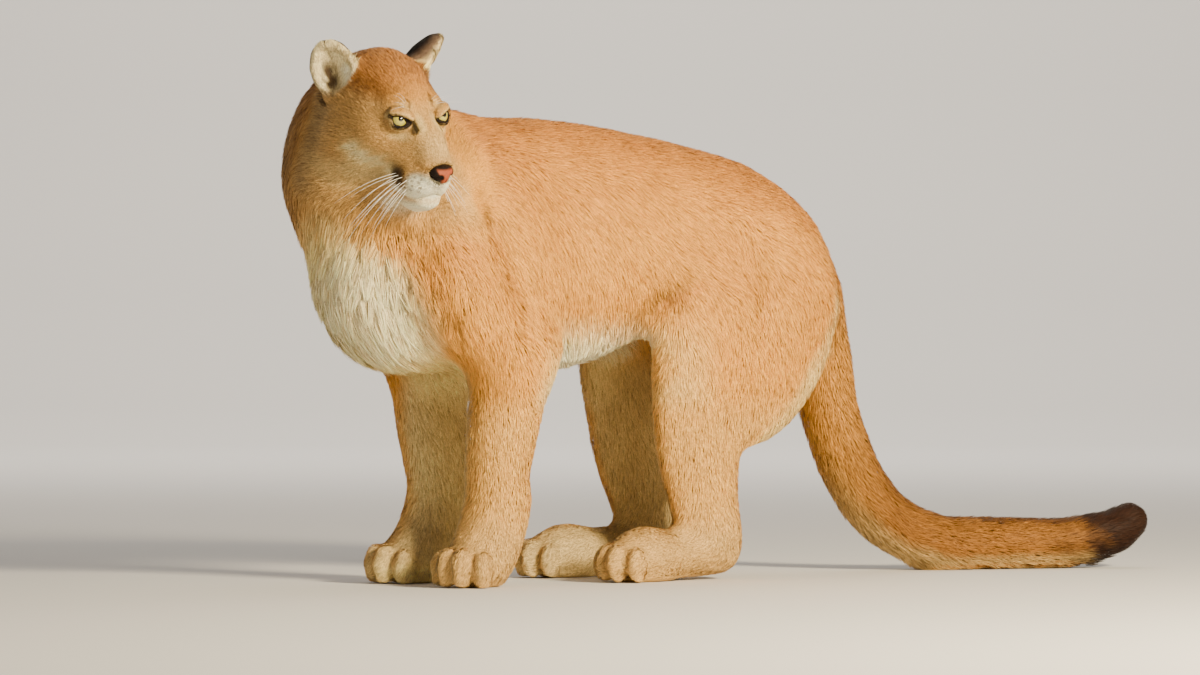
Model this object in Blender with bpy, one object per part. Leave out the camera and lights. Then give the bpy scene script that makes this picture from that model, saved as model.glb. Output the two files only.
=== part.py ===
"""A life-size cougar, standing on all fours with its head turned to its left and its tail laid out behind.

Units are metres. The body faces -Y, its left side is +X, and it stands on the floor at Z = 0.
The animal is one blended body of bone and muscle masses, measured to the tips of its coat. Thin cuts then
part it into head, neck, trunk, legs and tail.
"""

import math

import bmesh
import bpy
import numpy as np
import openvdb
from mathutils import Matrix, Vector

# Driving dimensions
TRUNK_HALF_WIDTH = 0.120
EYE_RADIUS = 0.0150
CUT_GAP = 0.0004
VOXEL = 0.0035
FAR = 0.05
SPLINE_STEPS = 5
BODY_TRIANGLES = 4700
DETAIL = 0.93
FOREPAW_WIDTH, FOREPAW_LENGTH = 0.100, 0.112
HIND_PAW_WIDTH, HIND_PAW_LENGTH = 0.088, 0.112
TAIL_RADIUS = 0.046
EAR_TILT = {1: math.radians(40), -1: math.radians(29)}
EAR_HALF_WIDTH = {1: 0.030, -1: 0.034}
EAR_HEIGHT = 0.053
EAR_BASE = {1: (-0.097, 0.067, 0.027), -1: (-0.099, -0.062, 0.026)}
EAR_SWIVEL = {1: math.radians(58), -1: math.radians(35)}

LEFT, RIGHT = 1, -1

# The head's own axes: x forward to the nose, y to its left, z up, from midway between the eyes
HEAD_PLACE = Vector((0.1395, -0.2085, 0.6555))
HEAD_YAW = math.radians(94)
HEAD_PITCH = math.radians(22)
HEAD_ROLL = math.radians(7)
HEAD_SCALE = 1.04


def head_axes():
    """Rotation from the head's own axes to the body's: the head looks along +X when its yaw is 90 degrees."""
    facing = Matrix.Rotation(HEAD_YAW - math.pi / 2, 3, "Z")
    return facing @ Matrix.Rotation(HEAD_PITCH, 3, "Y") @ Matrix.Rotation(HEAD_ROLL, 3, "X")


HEAD_TURN = head_axes()


class Field:
    """A signed distance on a regular grid, in metres: below zero inside the animal."""

    def __init__(self, low, high, voxel):
        self.low, self.voxel = np.array(low, float), voxel
        self.shape = tuple(int(math.ceil(span / voxel)) + 1 for span in np.subtract(high, low))
        self.values = np.full(self.shape, FAR, np.float32)

    def window(self, low, high):
        """The part of the grid inside a box, and the x, y and z of its points."""
        first = np.clip(np.floor((np.array(low) - self.low) / self.voxel).astype(int), 0, self.shape)
        last = np.clip(np.ceil((np.array(high) - self.low) / self.voxel).astype(int) + 1, 0, self.shape)
        part = tuple(slice(a, b) for a, b in zip(first, last))
        steps = [self.low[i] + self.voxel * np.arange(first[i], last[i], dtype=np.float32) for i in range(3)]
        return part, (steps[0][:, None, None], steps[1][None, :, None], steps[2][None, None, :])

    def add(self, shape, blend=0.0):
        """Joins a shape to the body, with a fillet that reaches as far as blend."""
        low, high, distance = shape
        part, place = self.window(np.array(low) - FAR, np.array(high) + FAR)
        self.values[part] = smooth_min(self.values[part], distance(*place), blend)

    def carve(self, shape, blend=0.0):
        """Takes a shape away from the body, with its rim rounded by blend."""
        low, high, distance = shape
        part, place = self.window(np.array(low) - FAR / 2, np.array(high) + FAR / 2)
        self.values[part] = -smooth_min(-self.values[part], distance(*place), blend)

    def mesh(self, name):
        """The surface where the field is zero, as a new mesh."""
        grid = openvdb.FloatGrid(FAR)
        grid.copyFromArray(self.values)
        points, triangles, quads = grid.convertToPolygons(0.0, 0.0)
        points = points * self.voxel + self.low
        faces = [tuple(face[::-1]) for face in quads.tolist() + triangles.tolist()]
        mesh = bpy.data.meshes.new(name)
        mesh.from_pydata(points.tolist(), [], faces)
        return mesh


def smooth_min(a, b, blend):
    if blend <= 0:
        return np.minimum(a, b)
    near = np.maximum(blend - np.abs(a - b), 0) / blend
    return np.minimum(a, b) - near * near * blend / 4


def ellipsoid(centre, radii, turn=None):
    """Low corner, high corner and distance of an ellipsoid. The columns of turn are its axes."""
    axes = np.array(turn if turn is not None else Matrix.Identity(3))
    radii, centre = np.array(radii, float), np.array(centre, float)
    reach = np.abs(axes) @ radii

    def distance(x, y, z):
        offset = (x - centre[0], y - centre[1], z - centre[2])
        near = far = 0
        for axis, radius in zip(axes.T, radii):
            along = offset[0] * axis[0] + offset[1] * axis[1] + offset[2] * axis[2]
            near = near + (along / radius) ** 2
            far = far + (along / radius**2) ** 2
        near, far = np.sqrt(near), np.sqrt(far)
        return (near * (near - 1) / np.maximum(far, 1e-6)).astype(np.float32)

    return centre - reach, centre + reach, distance


def spline(rows, steps):
    """Rows of numbers made finer: a Catmull-Rom curve through them, with steps rows to each span."""
    rows = np.array(rows, float)
    ends = np.vstack([2 * rows[0] - rows[1], rows, 2 * rows[-1] - rows[-2]])
    found = []
    for a, b, c, d in zip(ends, ends[1:], ends[2:], ends[3:]):
        for t in np.arange(steps) / steps:
            found.append(
                b + (c - a) * t / 2 + (a - 2.5 * b + 2 * c - d / 2) * t**2 + (1.5 * (b - c) + (d - a) / 2) * t**3
            )
    return np.array(found + [rows[-1]])


def limb(stations, side, steps=SPLINE_STEPS):
    """A tube with oval sections. A station is x, y, z, its half width along side and its half depth."""
    rows = spline(stations, steps)
    widest = rows[:, 3:].max()
    low, high = rows[:, :3].min(0) - widest, rows[:, :3].max(0) + widest
    side = np.array(side, float)

    def distance(x, y, z):
        nearest = np.float32(FAR * 4)
        for a, b in zip(rows, rows[1:]):
            axis = b[:3] - a[:3]
            length = np.linalg.norm(axis)
            axis /= length
            across = side - axis * (side @ axis)
            across /= np.linalg.norm(across)
            depth = np.cross(axis, across)
            offset = (x - a[0], y - a[1], z - a[2])
            along, wide, deep = (sum(o * v for o, v in zip(offset, row)) for row in (axis, across, depth))
            share = np.clip(along / length, 0, 1)
            half_width = a[3] + (b[3] - a[3]) * share
            half_depth = a[4] + (b[4] - a[4]) * share
            beyond = (along - share * length) / np.minimum(half_width, half_depth)
            wide, deep = wide / half_width, deep / half_depth
            size = np.sqrt(wide**2 + deep**2 + beyond**2)
            slope = np.sqrt(
                (wide / half_width) ** 2
                + (deep / half_depth) ** 2
                + (beyond / np.minimum(half_width, half_depth)) ** 2
            )
            nearest = np.minimum(nearest, size * (size - 1) / np.maximum(slope, 1e-6))
        return nearest.astype(np.float32)

    return low, high, distance


def in_head(x, y, z):
    """A point given in the head's own axes, in the body's."""
    return HEAD_PLACE + HEAD_TURN @ Vector((x, y, z)) * HEAD_SCALE


def head_ball(centre, radii, tilt=(0, 0, 0)):
    """An ellipsoid in the head's own axes, turned about them by tilt, in degrees."""
    turn = HEAD_TURN.copy()
    for angle, axis in zip(tilt, "XYZ"):
        turn = turn @ Matrix.Rotation(math.radians(angle), 3, axis)
    return ellipsoid(in_head(*centre), np.array(radii) * HEAD_SCALE, turn)


def add_trunk(body):
    """Ribcage, loin and rump, one oval tube along the spine, and the breast in front of it."""
    wide = TRUNK_HALF_WIDTH
    stations = [
        (0, -0.190, 0.435, wide * 0.62, 0.090),
        (0, -0.125, 0.450, wide * 0.84, 0.138),
        (0, -0.050, 0.472, wide * 0.95, 0.174),
        (0, 0.040, 0.482, wide, 0.184),
        (0, 0.120, 0.484, wide * 1.03, 0.182),
        (0, 0.200, 0.494, wide * 1.00, 0.167),
        (0, 0.280, 0.508, wide * 0.93, 0.140),
        (0, 0.360, 0.510, wide * 0.88, 0.122),
        (0, 0.440, 0.494, wide * 0.86, 0.118),
        (0, 0.508, 0.450, wide * 0.80, 0.115),
        (0, 0.560, 0.400, wide * 0.64, 0.092),
    ]
    body.add(limb(stations, (1, 0, 0)))
    body.add(ellipsoid((-0.010, -0.130, 0.428), (0.104, 0.122, 0.128)), 0.04)


def add_neck(body):
    """The neck rises from the chest and bends round to the head, fullest on its outer side."""
    stations = [
        (0.000, -0.030, 0.500, 0.110, 0.138),
        (-0.010, -0.110, 0.526, 0.110, 0.126),
        (-0.028, -0.176, 0.560, 0.112, 0.118),
        (-0.026, -0.198, 0.625, 0.095, 0.094),
        (0.004, -0.205, 0.668, 0.080, 0.078),
    ]
    body.add(limb(stations, (1, 0, 0)), 0.05)
    body.add(ellipsoid((-0.004, -0.066, 0.602), (0.045, 0.070, 0.078)), 0.03)


def add_foreleg(body, side, elbow, wrist):
    """Shoulder blade, upper arm and forearm. The elbow and wrist are points on the leg's own line."""
    blade = [
        (side * 0.045, 0.030, 0.590, 0.030, 0.055),
        (side * 0.080, -0.040, 0.520, 0.046, 0.080),
        (side * 0.098, -0.115, 0.435, 0.046, 0.062),
    ]
    body.add(limb(blade, (1, 0, 0)), 0.05)
    upper_arm = [
        (side * 0.100, -0.125, 0.420, 0.050, 0.056),
        (side * 0.103, -0.060, 0.370, 0.050, 0.062),
        (elbow[0], elbow[1], elbow[2], 0.044, 0.052),
    ]
    body.add(limb(upper_arm, (1, 0, 0)), 0.04)
    triceps = (side * 0.090, 0.000, 0.420)
    body.add(ellipsoid(triceps, (0.044, 0.070, 0.105)), 0.04)
    middle = [(a + b) / 2 for a, b in zip(elbow, wrist)]
    forearm = [
        (elbow[0], elbow[1], elbow[2] + 0.02, 0.048, 0.064),
        (middle[0], middle[1] - 0.006, middle[2] + 0.02, 0.045, 0.058),
        (wrist[0], wrist[1] - 0.002, wrist[2] + 0.03, 0.041, 0.051),
        (wrist[0], wrist[1], wrist[2], 0.042, 0.052),
        (wrist[0], wrist[1] - 0.014, wrist[2] - 0.055, 0.044, 0.050),
    ]
    body.add(limb(forearm, (1, 0, 0)), 0.035)


def add_paw(body, heel, toe_out, width, length):
    """Palm and four toes, over the heel point and turned out by toe_out."""
    turn = Matrix.Rotation(toe_out, 3, "Z")
    forward, across = turn @ Vector((0, -1, 0)), turn @ Vector((1, 0, 0))
    palm = Vector(heel) + forward * length * 0.32
    body.add(ellipsoid((palm.x, palm.y, 0.034), (width * 0.46, length * 0.46, 0.042), turn), 0.03)
    for place in (-1.5, -0.5, 0.5, 1.5):
        inner = abs(place) < 1
        reach = length * (0.80 if inner else 0.64)
        middle = Vector(heel) + forward * reach + across * place * width * 0.250
        toe_turn = Matrix.Rotation(toe_out + place * math.radians(10), 3, "Z")
        radii = (width * 0.150, length * 0.20, 0.031 if inner else 0.028)
        body.add(ellipsoid((middle.x, middle.y, 0.029 if inner else 0.026), radii, toe_turn), 0.006)


def add_hind_leg(body, stations, heel, ball):
    """Thigh and shank down the stations, then the long foot from the heel to the ball."""
    body.add(limb(stations, (1, 0, 0)), 0.05)
    middle = (Vector(heel) + Vector(ball)) / 2
    foot = [
        (*heel, 0.031, 0.036),
        (middle.x, middle.y, middle.z, 0.034, 0.036),
        (*ball, 0.038, 0.036),
    ]
    body.add(limb(foot, (1, 0, 0)), 0.025)


def head_tube(stations):
    """A tube along the head. A station is x, y, z in the head's axes, its half width and its half depth."""
    rows = [(*in_head(*row[:3]), row[3] * HEAD_SCALE, row[4] * HEAD_SCALE) for row in stations]
    return limb(rows, HEAD_TURN @ Vector((0, 1, 0)))


def add_head(body):
    """Skull, brow, cheeks, muzzle and jaw."""
    body.add(head_ball((-0.080, 0, 0.003), (0.068, 0.064, 0.066)), 0.03)
    body.add(head_ball((-0.046, 0, 0.005), (0.060, 0.052, 0.047), (0, 14, 0)), 0.02)
    bridge = [
        (-0.009, 0, 0.004, 0.028, 0.020),
        (0.028, 0, -0.014, 0.025, 0.020),
        (0.062, 0, -0.041, 0.019, 0.016),
    ]
    body.add(head_tube(bridge), 0.02)
    maxilla = [
        (-0.040, 0, -0.030, 0.060, 0.046),
        (0.000, 0, -0.036, 0.045, 0.040),
        (0.029, 0, -0.050, 0.033, 0.030),
        (0.054, 0, -0.057, 0.024, 0.022),
    ]
    body.add(head_tube(maxilla), 0.02)
    muzzle = [
        (-0.025, 0, -0.046, 0.044, 0.040),
        (0.012, 0, -0.059, 0.038, 0.033),
        (0.035, 0, -0.068, 0.029, 0.025),
    ]
    body.add(head_tube(muzzle), 0.02)
    jaw = [
        (-0.060, 0, -0.074, 0.050, 0.036),
        (-0.012, 0, -0.090, 0.036, 0.027),
        (0.033, 0, -0.101, 0.022, 0.019),
    ]
    body.add(head_tube(jaw), 0.015)
    for side in (LEFT, RIGHT):
        body.add(head_ball((-0.050, side * 0.042, -0.022), (0.050, 0.029, 0.036)), 0.030)
        body.add(head_ball((-0.072, side * 0.044, -0.060), (0.046, 0.036, 0.042)), 0.025)
        body.add(head_ball((-0.010, side * 0.025, 0.019), (0.019, 0.016, 0.009), (0, 20, side * -25)), 0.014)
        body.add(head_ball((-0.008, side * 0.028, 0.002), (0.019, 0.020, 0.019)), 0.016)
        body.add(head_ball((0.032, side * 0.0155, -0.073), (0.033, 0.019, 0.022)), 0.010)
    body.add(head_ball((0.068, 0, -0.053), (0.015, 0.015, 0.014), (0, 30, 0)), 0.008)
    for side in (LEFT, RIGHT):
        opening = head_ball((0.023, side * 0.034, 0.004), (0.012, 0.017, 0.010), (side * 6, 0, side * 22))
        body.carve(opening, 0.006)


def ear_turn(side):
    """The ear's own axes: x out of its opening, z up to its tip."""
    swivel = HEAD_TURN @ Matrix.Rotation(side * EAR_SWIVEL[side], 3, "Z")
    return Matrix.Rotation(-side * EAR_TILT[side], 3, HEAD_TURN @ Vector((1, 0, 0))) @ swivel


def ear_base(side):
    return in_head(*EAR_BASE[side])


def add_ear(body, side):
    """A cupped ear, open to the front and side."""
    turn = ear_turn(side)
    base, up, out = ear_base(side), turn @ Vector((0, 0, 1)), turn @ Vector((1, 0, 0))
    ear = Field(np.array(base) - 0.12, np.array(base) + 0.13, body.voxel)
    ear.add(ellipsoid(base + up * 0.012, (0.024, EAR_HALF_WIDTH[side], EAR_HEIGHT), turn))
    cup = base + up * 0.017 + out * 0.018
    ear.carve(ellipsoid(cup, (0.026, EAR_HALF_WIDTH[side] - 0.009, EAR_HEIGHT - 0.007), turn), 0.006)
    body.add(sampled(ear), 0.012)


def sampled(field):
    """Another field as a shape, read at its grid points."""
    high = field.low + field.voxel * (np.array(field.shape) - 1)

    def distance(x, y, z):
        index = [np.rint((v.ravel() - low) / field.voxel).astype(int) for v, low in zip((x, y, z), field.low)]
        inside = [np.clip(v, 0, n - 1) for v, n in zip(index, field.shape)]
        return field.values[np.ix_(*inside)]

    return field.low + FAR, high - FAR, distance


def add_tail(body):
    """The tail hangs behind the rump, then lies along the floor and turns up at its tip."""
    thick = TAIL_RADIUS
    stations = [
        (0.000, 0.540, 0.470, thick * 1.35, thick * 1.25),
        (0.000, 0.595, 0.410, thick * 1.20, thick * 1.15),
        (0.000, 0.628, 0.330, thick * 1.05, thick * 1.05),
        (0.000, 0.645, 0.245, thick, thick),
        (0.003, 0.683, 0.155, thick, thick),
        (0.012, 0.738, 0.084, thick * 0.98, thick * 0.98),
        (0.032, 0.820, 0.043, thick * 0.95, thick * 0.95),
        (0.062, 0.920, 0.039, thick * 0.91, thick * 0.91),
        (0.100, 1.020, 0.038, thick * 0.87, thick * 0.87),
        (0.132, 1.090, 0.052, thick * 0.80, thick * 0.80),
        (0.146, 1.120, 0.072, thick * 0.66, thick * 0.66),
    ]
    body.add(limb(stations, (1, 0, 0)), 0.03)


def whole_body():
    body = Field((-0.20, -0.36, -0.03), (0.32, 1.20, 0.83), VOXEL)
    add_trunk(body)
    add_neck(body)
    add_tail(body)
    add_foreleg(body, LEFT, (0.096, 0.000, 0.320), (0.085, -0.026, 0.125))
    add_foreleg(body, RIGHT, (-0.100, -0.015, 0.320), (-0.072, -0.016, 0.125))
    add_paw(body, (0.088, -0.034, 0), math.radians(16), FOREPAW_WIDTH, FOREPAW_LENGTH)
    add_paw(body, (-0.064, -0.030, 0), math.radians(-4), FOREPAW_WIDTH, FOREPAW_LENGTH)
    left_leg = [
        (0.060, 0.430, 0.500, 0.056, 0.120),
        (0.082, 0.418, 0.405, 0.062, 0.168),
        (0.098, 0.378, 0.320, 0.056, 0.152),
        (0.102, 0.340, 0.262, 0.046, 0.114),
        (0.102, 0.322, 0.215, 0.039, 0.084),
        (0.099, 0.324, 0.165, 0.036, 0.070),
        (0.097, 0.336, 0.110, 0.034, 0.059),
        (0.097, 0.350, 0.070, 0.033, 0.045),
    ]
    add_hind_leg(body, left_leg, (0.097, 0.362, 0.045), (0.094, 0.235, 0.034))
    right_leg = [
        (-0.060, 0.430, 0.500, 0.056, 0.120),
        (-0.082, 0.424, 0.405, 0.062, 0.165),
        (-0.098, 0.392, 0.320, 0.056, 0.148),
        (-0.100, 0.366, 0.255, 0.046, 0.110),
        (-0.098, 0.354, 0.205, 0.039, 0.080),
        (-0.095, 0.359, 0.155, 0.036, 0.068),
        (-0.092, 0.374, 0.105, 0.034, 0.058),
        (-0.091, 0.390, 0.070, 0.033, 0.045),
    ]
    add_hind_leg(body, right_leg, (-0.091, 0.402, 0.045), (-0.090, 0.240, 0.034))
    add_paw(body, (0.094, 0.250, 0), math.radians(8), HIND_PAW_WIDTH, HIND_PAW_LENGTH)
    add_paw(body, (-0.090, 0.250, 0), math.radians(-4), HIND_PAW_WIDTH, HIND_PAW_LENGTH)
    add_head(body)
    for side in (LEFT, RIGHT):
        add_ear(body, side)
    return body


def new_object(name, mesh):
    obj = bpy.data.objects.new(name, mesh)
    bpy.context.scene.collection.objects.link(obj)
    return obj


def thinned(mesh, triangles):
    """The mesh collapsed to about this many triangles, finest on the head."""
    obj = new_object("thinning", mesh)
    fine = obj.vertex_groups.new(name="coarse")
    head = np.array(in_head(-0.02, 0, -0.02))
    points = np.array([v.co for v in mesh.vertices])
    near = np.clip((np.linalg.norm(points - head, axis=1) - 0.10) / 0.08, 0, 1)
    for level in range(5):
        rows = np.nonzero((near >= level / 4 - 0.125) & (near < level / 4 + 0.125))[0]
        fine.add(rows.tolist(), DETAIL + (1 - DETAIL) * level / 4, "REPLACE")
    collapse = obj.modifiers.new("thin", "DECIMATE")
    collapse.ratio = triangles / (2 * len(mesh.vertices))
    collapse.vertex_group = "coarse"
    collapse.vertex_group_factor = 1.0
    return applied(obj)


def applied(obj):
    """The mesh of an object with its modifiers, and the object removed."""
    depsgraph = bpy.context.evaluated_depsgraph_get()
    mesh = bpy.data.meshes.new_from_object(obj.evaluated_get(depsgraph), depsgraph=depsgraph)
    bpy.data.objects.remove(obj)
    return mesh


def combined(mesh, solid, operation):
    """The mesh with a solid taken away from it, or the part of it inside the solid."""
    first, second = new_object("first", mesh), new_object("second", solid)
    boolean = first.modifiers.new("cut", "BOOLEAN")
    boolean.operation, boolean.object, boolean.solver = operation, second, "EXACT"
    found = applied(first)
    bpy.data.objects.remove(second)
    return found


def largest(mesh):
    """The mesh with only its largest closed piece, in triangles."""
    build = bmesh.new()
    build.from_mesh(mesh)
    bmesh.ops.triangulate(build, faces=build.faces[:])
    left, shells = set(build.verts), []
    while left:
        stack, shell = [left.pop()], set()
        while stack:
            vert = stack.pop()
            shell.add(vert)
            for edge in vert.link_edges:
                other = edge.other_vert(vert)
                if other in left:
                    left.discard(other)
                    stack.append(other)
        shells.append(shell)
    shells.sort(key=lambda shell: -len({face for vert in shell for face in vert.link_faces}))
    for shell in shells[1:]:
        bmesh.ops.delete(build, geom=list(shell), context="VERTS")
    build.to_mesh(mesh)
    build.free()
    return mesh


def box(low, high, turn=None, middle=(0, 0, 0), grow=0.0):
    """A box from low to high in axes turned about middle, grown on every side."""
    build = bmesh.new()
    bmesh.ops.create_cube(build, size=1)
    low, high = Vector(low) - Vector((grow,) * 3), Vector(high) + Vector((grow,) * 3)
    turn = turn or Matrix.Identity(3)
    for vert in build.verts:
        place = Vector([low[i] + (high[i] - low[i]) * (vert.co[i] + 0.5) for i in range(3)])
        vert.co = Vector(middle) + turn @ place
    mesh = bpy.data.meshes.new("box")
    build.to_mesh(mesh)
    build.free()
    return mesh


def ball(middle, radii, turn, grow=0.0):
    """A closed ball of flat faces, with its poles along the turned z."""
    build = bmesh.new()
    bmesh.ops.create_icosphere(build, subdivisions=2, radius=1)
    for vert in build.verts:
        vert.co = Vector(middle) + turn @ Vector([(r + grow) * c for r, c in zip(radii, vert.co)])
    mesh = bpy.data.meshes.new("ball")
    build.to_mesh(mesh)
    build.free()
    return mesh


def leaning(angle_x, angle_y=0.0):
    """Turned about X, then about Y, in degrees."""
    return Matrix.Rotation(math.radians(angle_y), 3, "Y") @ Matrix.Rotation(math.radians(angle_x), 3, "X")


def neck_box(grow=0.0):
    """The box that holds the head and neck: its base crosses the root of the neck."""
    turn = Vector((-0.22, -0.77, 0.60)).to_track_quat("Z", "Y").to_matrix()
    return box((-0.4, -0.4, 0), (0.4, 0.4, 0.5), turn, (-0.010, -0.125, 0.550), grow)


def head_cuts():
    """As cuts, for the parts of the head."""
    found = []
    for side, name in ((LEFT, "left"), (RIGHT, "right")):
        low, high = (-0.06, -0.044, 0.016), (0.06, 0.044, 0.12)
        found.append(("ear_" + name, low, high, ear_turn(side), ear_base(side)))
    return found + [
        ("lower_jaw", (-0.010, -0.045, -0.125), (0.1, 0.045, -0.0910), HEAD_TURN, in_head(0, 0, 0)),
        ("head", (-0.3, -0.3, 0), (0.3, 0.3, 0.3), leaning(0, 27), (0, -0.205, 0.603)),
    ]


def cuts():
    """Name, low corner, high corner, turn and middle of each part's box, in the order they are cut."""
    level = Matrix.Identity(3)
    here = (0, 0, 0)
    found = [
        ("tail_5", (-0.1, 1.005, -0.1), (0.4, 1.4, 0.2), level, here),
        ("tail_4", (-0.1, 0.885, -0.1), (0.4, 1.4, 0.2), level, here),
        ("tail_3", (-0.1, 0.765, -0.1), (0.4, 1.4, 0.16), level, here),
        ("tail_2", (-0.06, -0.1, -0.20), (0.08, 0.3, 0), leaning(-25), (0, 0.672, 0.180)),
        ("tail_1", (-0.056, -0.09, -0.26), (0.056, 0.2, 0), leaning(38), (0, 0.618, 0.345)),
    ]
    for side, name in ((LEFT, "left"), (RIGHT, "right")):
        near, far = (0.012, 0.3) if side > 0 else (-0.3, 0.008)
        found += [
            ("forepaw_" + name, (near, -0.25, -0.1), (far, 0.09, 0.082), level, here),
            ("forearm_" + name, (near, -0.25, -0.1), (far, 0.12, 0.290), level, here),
        ]
        near, far = (0.0, 0.3) if side > 0 else (-0.3, 0.0)
        found += [
            ("hind_foot_" + name, (near, 0.09, -0.1), (far, 0.56, 0.082), level, here),
            ("shank_" + name, (near, 0.12, -0.1), (far, 0.56, 0.250), level, here),
        ]
        shoulder, hip = (side * 0.040, 0, 0.290), (side * 0.030, 0, 0.320)
        found += [
            ("upper_foreleg_" + name, (near, -0.175, -0.3), (far, 0.09, 0.5), leaning(0, side * 13), shoulder),
            ("thigh_" + name, (near, 0.215, -0.3), (far, 0.7, 0.5), leaning(0, side * 15), hip),
        ]
    found += [
        ("rump", (-0.3, 0.345, 0), (0.3, 0.8, 0.9), level, here),
        ("loin", (-0.3, 0.140, 0), (0.3, 0.8, 0.9), level, here),
    ]
    return found


def parted(rest, boxes, parts):
    """Cuts each box's part out of the mesh into parts, and returns what is left."""
    for name, low, high, turn, middle in boxes:
        parts[name] = largest(combined(rest.copy(), box(low, high, turn, middle), "INTERSECT"))
        rest = combined(rest, box(low, high, turn, middle, CUT_GAP), "DIFFERENCE")
    return largest(rest)


def material(name, colour, roughness):
    found = bpy.data.materials.new(name)
    found.use_nodes = True
    shader = found.node_tree.nodes["Principled BSDF"]
    shader.inputs["Base Color"].default_value = (*colour, 1)
    shader.inputs["Roughness"].default_value = roughness
    return found


def main():
    for obj in list(bpy.data.objects):
        bpy.data.objects.remove(obj)
    rest = thinned(whole_body().mesh("cougar"), BODY_TRIANGLES)
    rest = combined(rest, box((-1, -1, -1), (1, 2, 0)), "DIFFERENCE")
    parts = {}
    for side, name in ((LEFT, "left"), (RIGHT, "right")):
        eye = in_head(0.006, side * 0.033, 0.0025)
        radii = (EYE_RADIUS,) * 3
        parts["eye_" + name] = ball(eye, radii, HEAD_TURN)
        rest = combined(rest, ball(eye, radii, HEAD_TURN, CUT_GAP), "DIFFERENCE")
    nose_turn = HEAD_TURN @ leaning(0, 25)
    nose, radii = in_head(0.077, 0, -0.051), (0.013, 0.016, 0.013)
    parts["nose"] = ball(nose, radii, nose_turn)
    rest = combined(rest, ball(nose, radii, nose_turn, CUT_GAP), "DIFFERENCE")
    front = combined(rest.copy(), neck_box(), "INTERSECT")
    rest = combined(rest, neck_box(CUT_GAP), "DIFFERENCE")
    parts["neck"] = parted(front, head_cuts(), parts)
    parts["chest"] = parted(rest, cuts(), parts)

    group = bpy.data.collections.new("cougar")
    bpy.context.scene.collection.children.link(group)
    points = np.array([v.co for mesh in parts.values() for v in mesh.vertices])
    low, high = points.min(0), points.max(0)
    origin = Vector(((low[0] + high[0]) / 2, (low[1] + high[1]) / 2, low[2]))
    for name, mesh in parts.items():
        mesh.transform(Matrix.Translation(-origin))
        mesh.materials.clear()
        if name.startswith("eye"):
            mesh.materials.append(material(name + "_clear", (0.55, 0.50, 0.20), 0.1))
        elif name == "nose":
            mesh.materials.append(material(name + "_leather", (0.35, 0.12, 0.09), 0.5))
        else:
            mesh.materials.append(material(name + "_fur", (0.62, 0.40, 0.20), 0.9))
        mesh.name = name
        group.objects.link(bpy.data.objects.new(name, mesh))


if __name__ == "__main__":
    main()
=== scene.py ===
import math

import bpy
import numpy as np
import openvdb
from mathutils import Matrix, Vector


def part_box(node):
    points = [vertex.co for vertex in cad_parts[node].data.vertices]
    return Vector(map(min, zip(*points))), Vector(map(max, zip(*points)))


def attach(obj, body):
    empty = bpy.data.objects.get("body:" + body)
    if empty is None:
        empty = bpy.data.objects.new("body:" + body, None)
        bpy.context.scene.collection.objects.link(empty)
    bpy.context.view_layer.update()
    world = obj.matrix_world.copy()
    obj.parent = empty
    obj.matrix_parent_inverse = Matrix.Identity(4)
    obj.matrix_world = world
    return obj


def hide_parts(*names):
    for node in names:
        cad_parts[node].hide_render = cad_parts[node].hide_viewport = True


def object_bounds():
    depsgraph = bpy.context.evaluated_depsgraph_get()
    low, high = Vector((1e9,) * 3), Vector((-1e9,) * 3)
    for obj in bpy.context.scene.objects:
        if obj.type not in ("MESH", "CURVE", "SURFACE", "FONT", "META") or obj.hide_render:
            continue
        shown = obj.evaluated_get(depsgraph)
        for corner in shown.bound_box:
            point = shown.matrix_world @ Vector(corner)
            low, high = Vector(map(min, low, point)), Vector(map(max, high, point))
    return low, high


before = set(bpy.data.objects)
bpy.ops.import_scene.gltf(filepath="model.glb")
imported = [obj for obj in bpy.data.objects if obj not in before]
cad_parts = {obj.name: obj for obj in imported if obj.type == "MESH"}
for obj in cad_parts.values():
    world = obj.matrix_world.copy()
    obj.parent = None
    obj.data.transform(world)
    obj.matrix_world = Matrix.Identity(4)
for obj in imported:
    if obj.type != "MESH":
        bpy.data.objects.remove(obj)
CAD_BOX = [list(corner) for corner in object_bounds()]
FLESH = [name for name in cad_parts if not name.startswith("eye") and name != "nose"]
RNG = np.random.default_rng(43)

LEFT, RIGHT = 1, -1
HEAD_SCALE, EYE_RADIUS = 1.04, 0.015
BOTH = (LEFT, RIGHT)
SIDES = ((LEFT, "left"), (RIGHT, "right"))


def turned(degrees, axis):
    """A turn round an axis, given by its letter or as a direction."""
    return Matrix.Rotation(math.radians(degrees), 3, axis)


def centre_of(node):
    """The middle of a node's box."""
    low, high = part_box(node)
    return np.array((low + high) / 2)


HEAD_TURN = turned(4, "Z") @ turned(22, "Y") @ turned(7, "X")
EYES = {side: centre_of("eye_" + name) for side, name in SIDES}
TURN = np.array(HEAD_TURN)
HEAD_PLACE = (EYES[LEFT] + EYES[RIGHT]) / 2 - TURN @ (0.006, 0, 0.0025) * HEAD_SCALE
# The body's measures are given from a point on the floor under the chest
ORIGIN = np.array((0.1395, -0.2085, 0.6555)) - HEAD_PLACE


def in_head(x, y, z):
    """A point given in the head's own axes, x forward, y to its left and z up, in the frame's."""
    return HEAD_PLACE + TURN @ np.array((x, y, z), float) * HEAD_SCALE


def to_head(points):
    """Points in the head's own axes."""
    return (points - HEAD_PLACE) @ TURN / HEAD_SCALE


def step(low, high, value):
    """Zero up to low, one from high on, and smooth between."""
    share = np.clip((value - low) / (high - low), 0, 1)
    return share * share * (3 - 2 * share)


def toward(value, goal, share):
    """The value, moved by that share of the way to the goal."""
    return value + (goal - value) * share


def smooth_min(a, b, blend):
    """The lesser of two distances, rounded where they are nearer to each other than blend."""
    near = np.maximum(blend - np.abs(a - b), 0) / blend
    return np.minimum(a, b) - near * near * blend / 4


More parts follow.
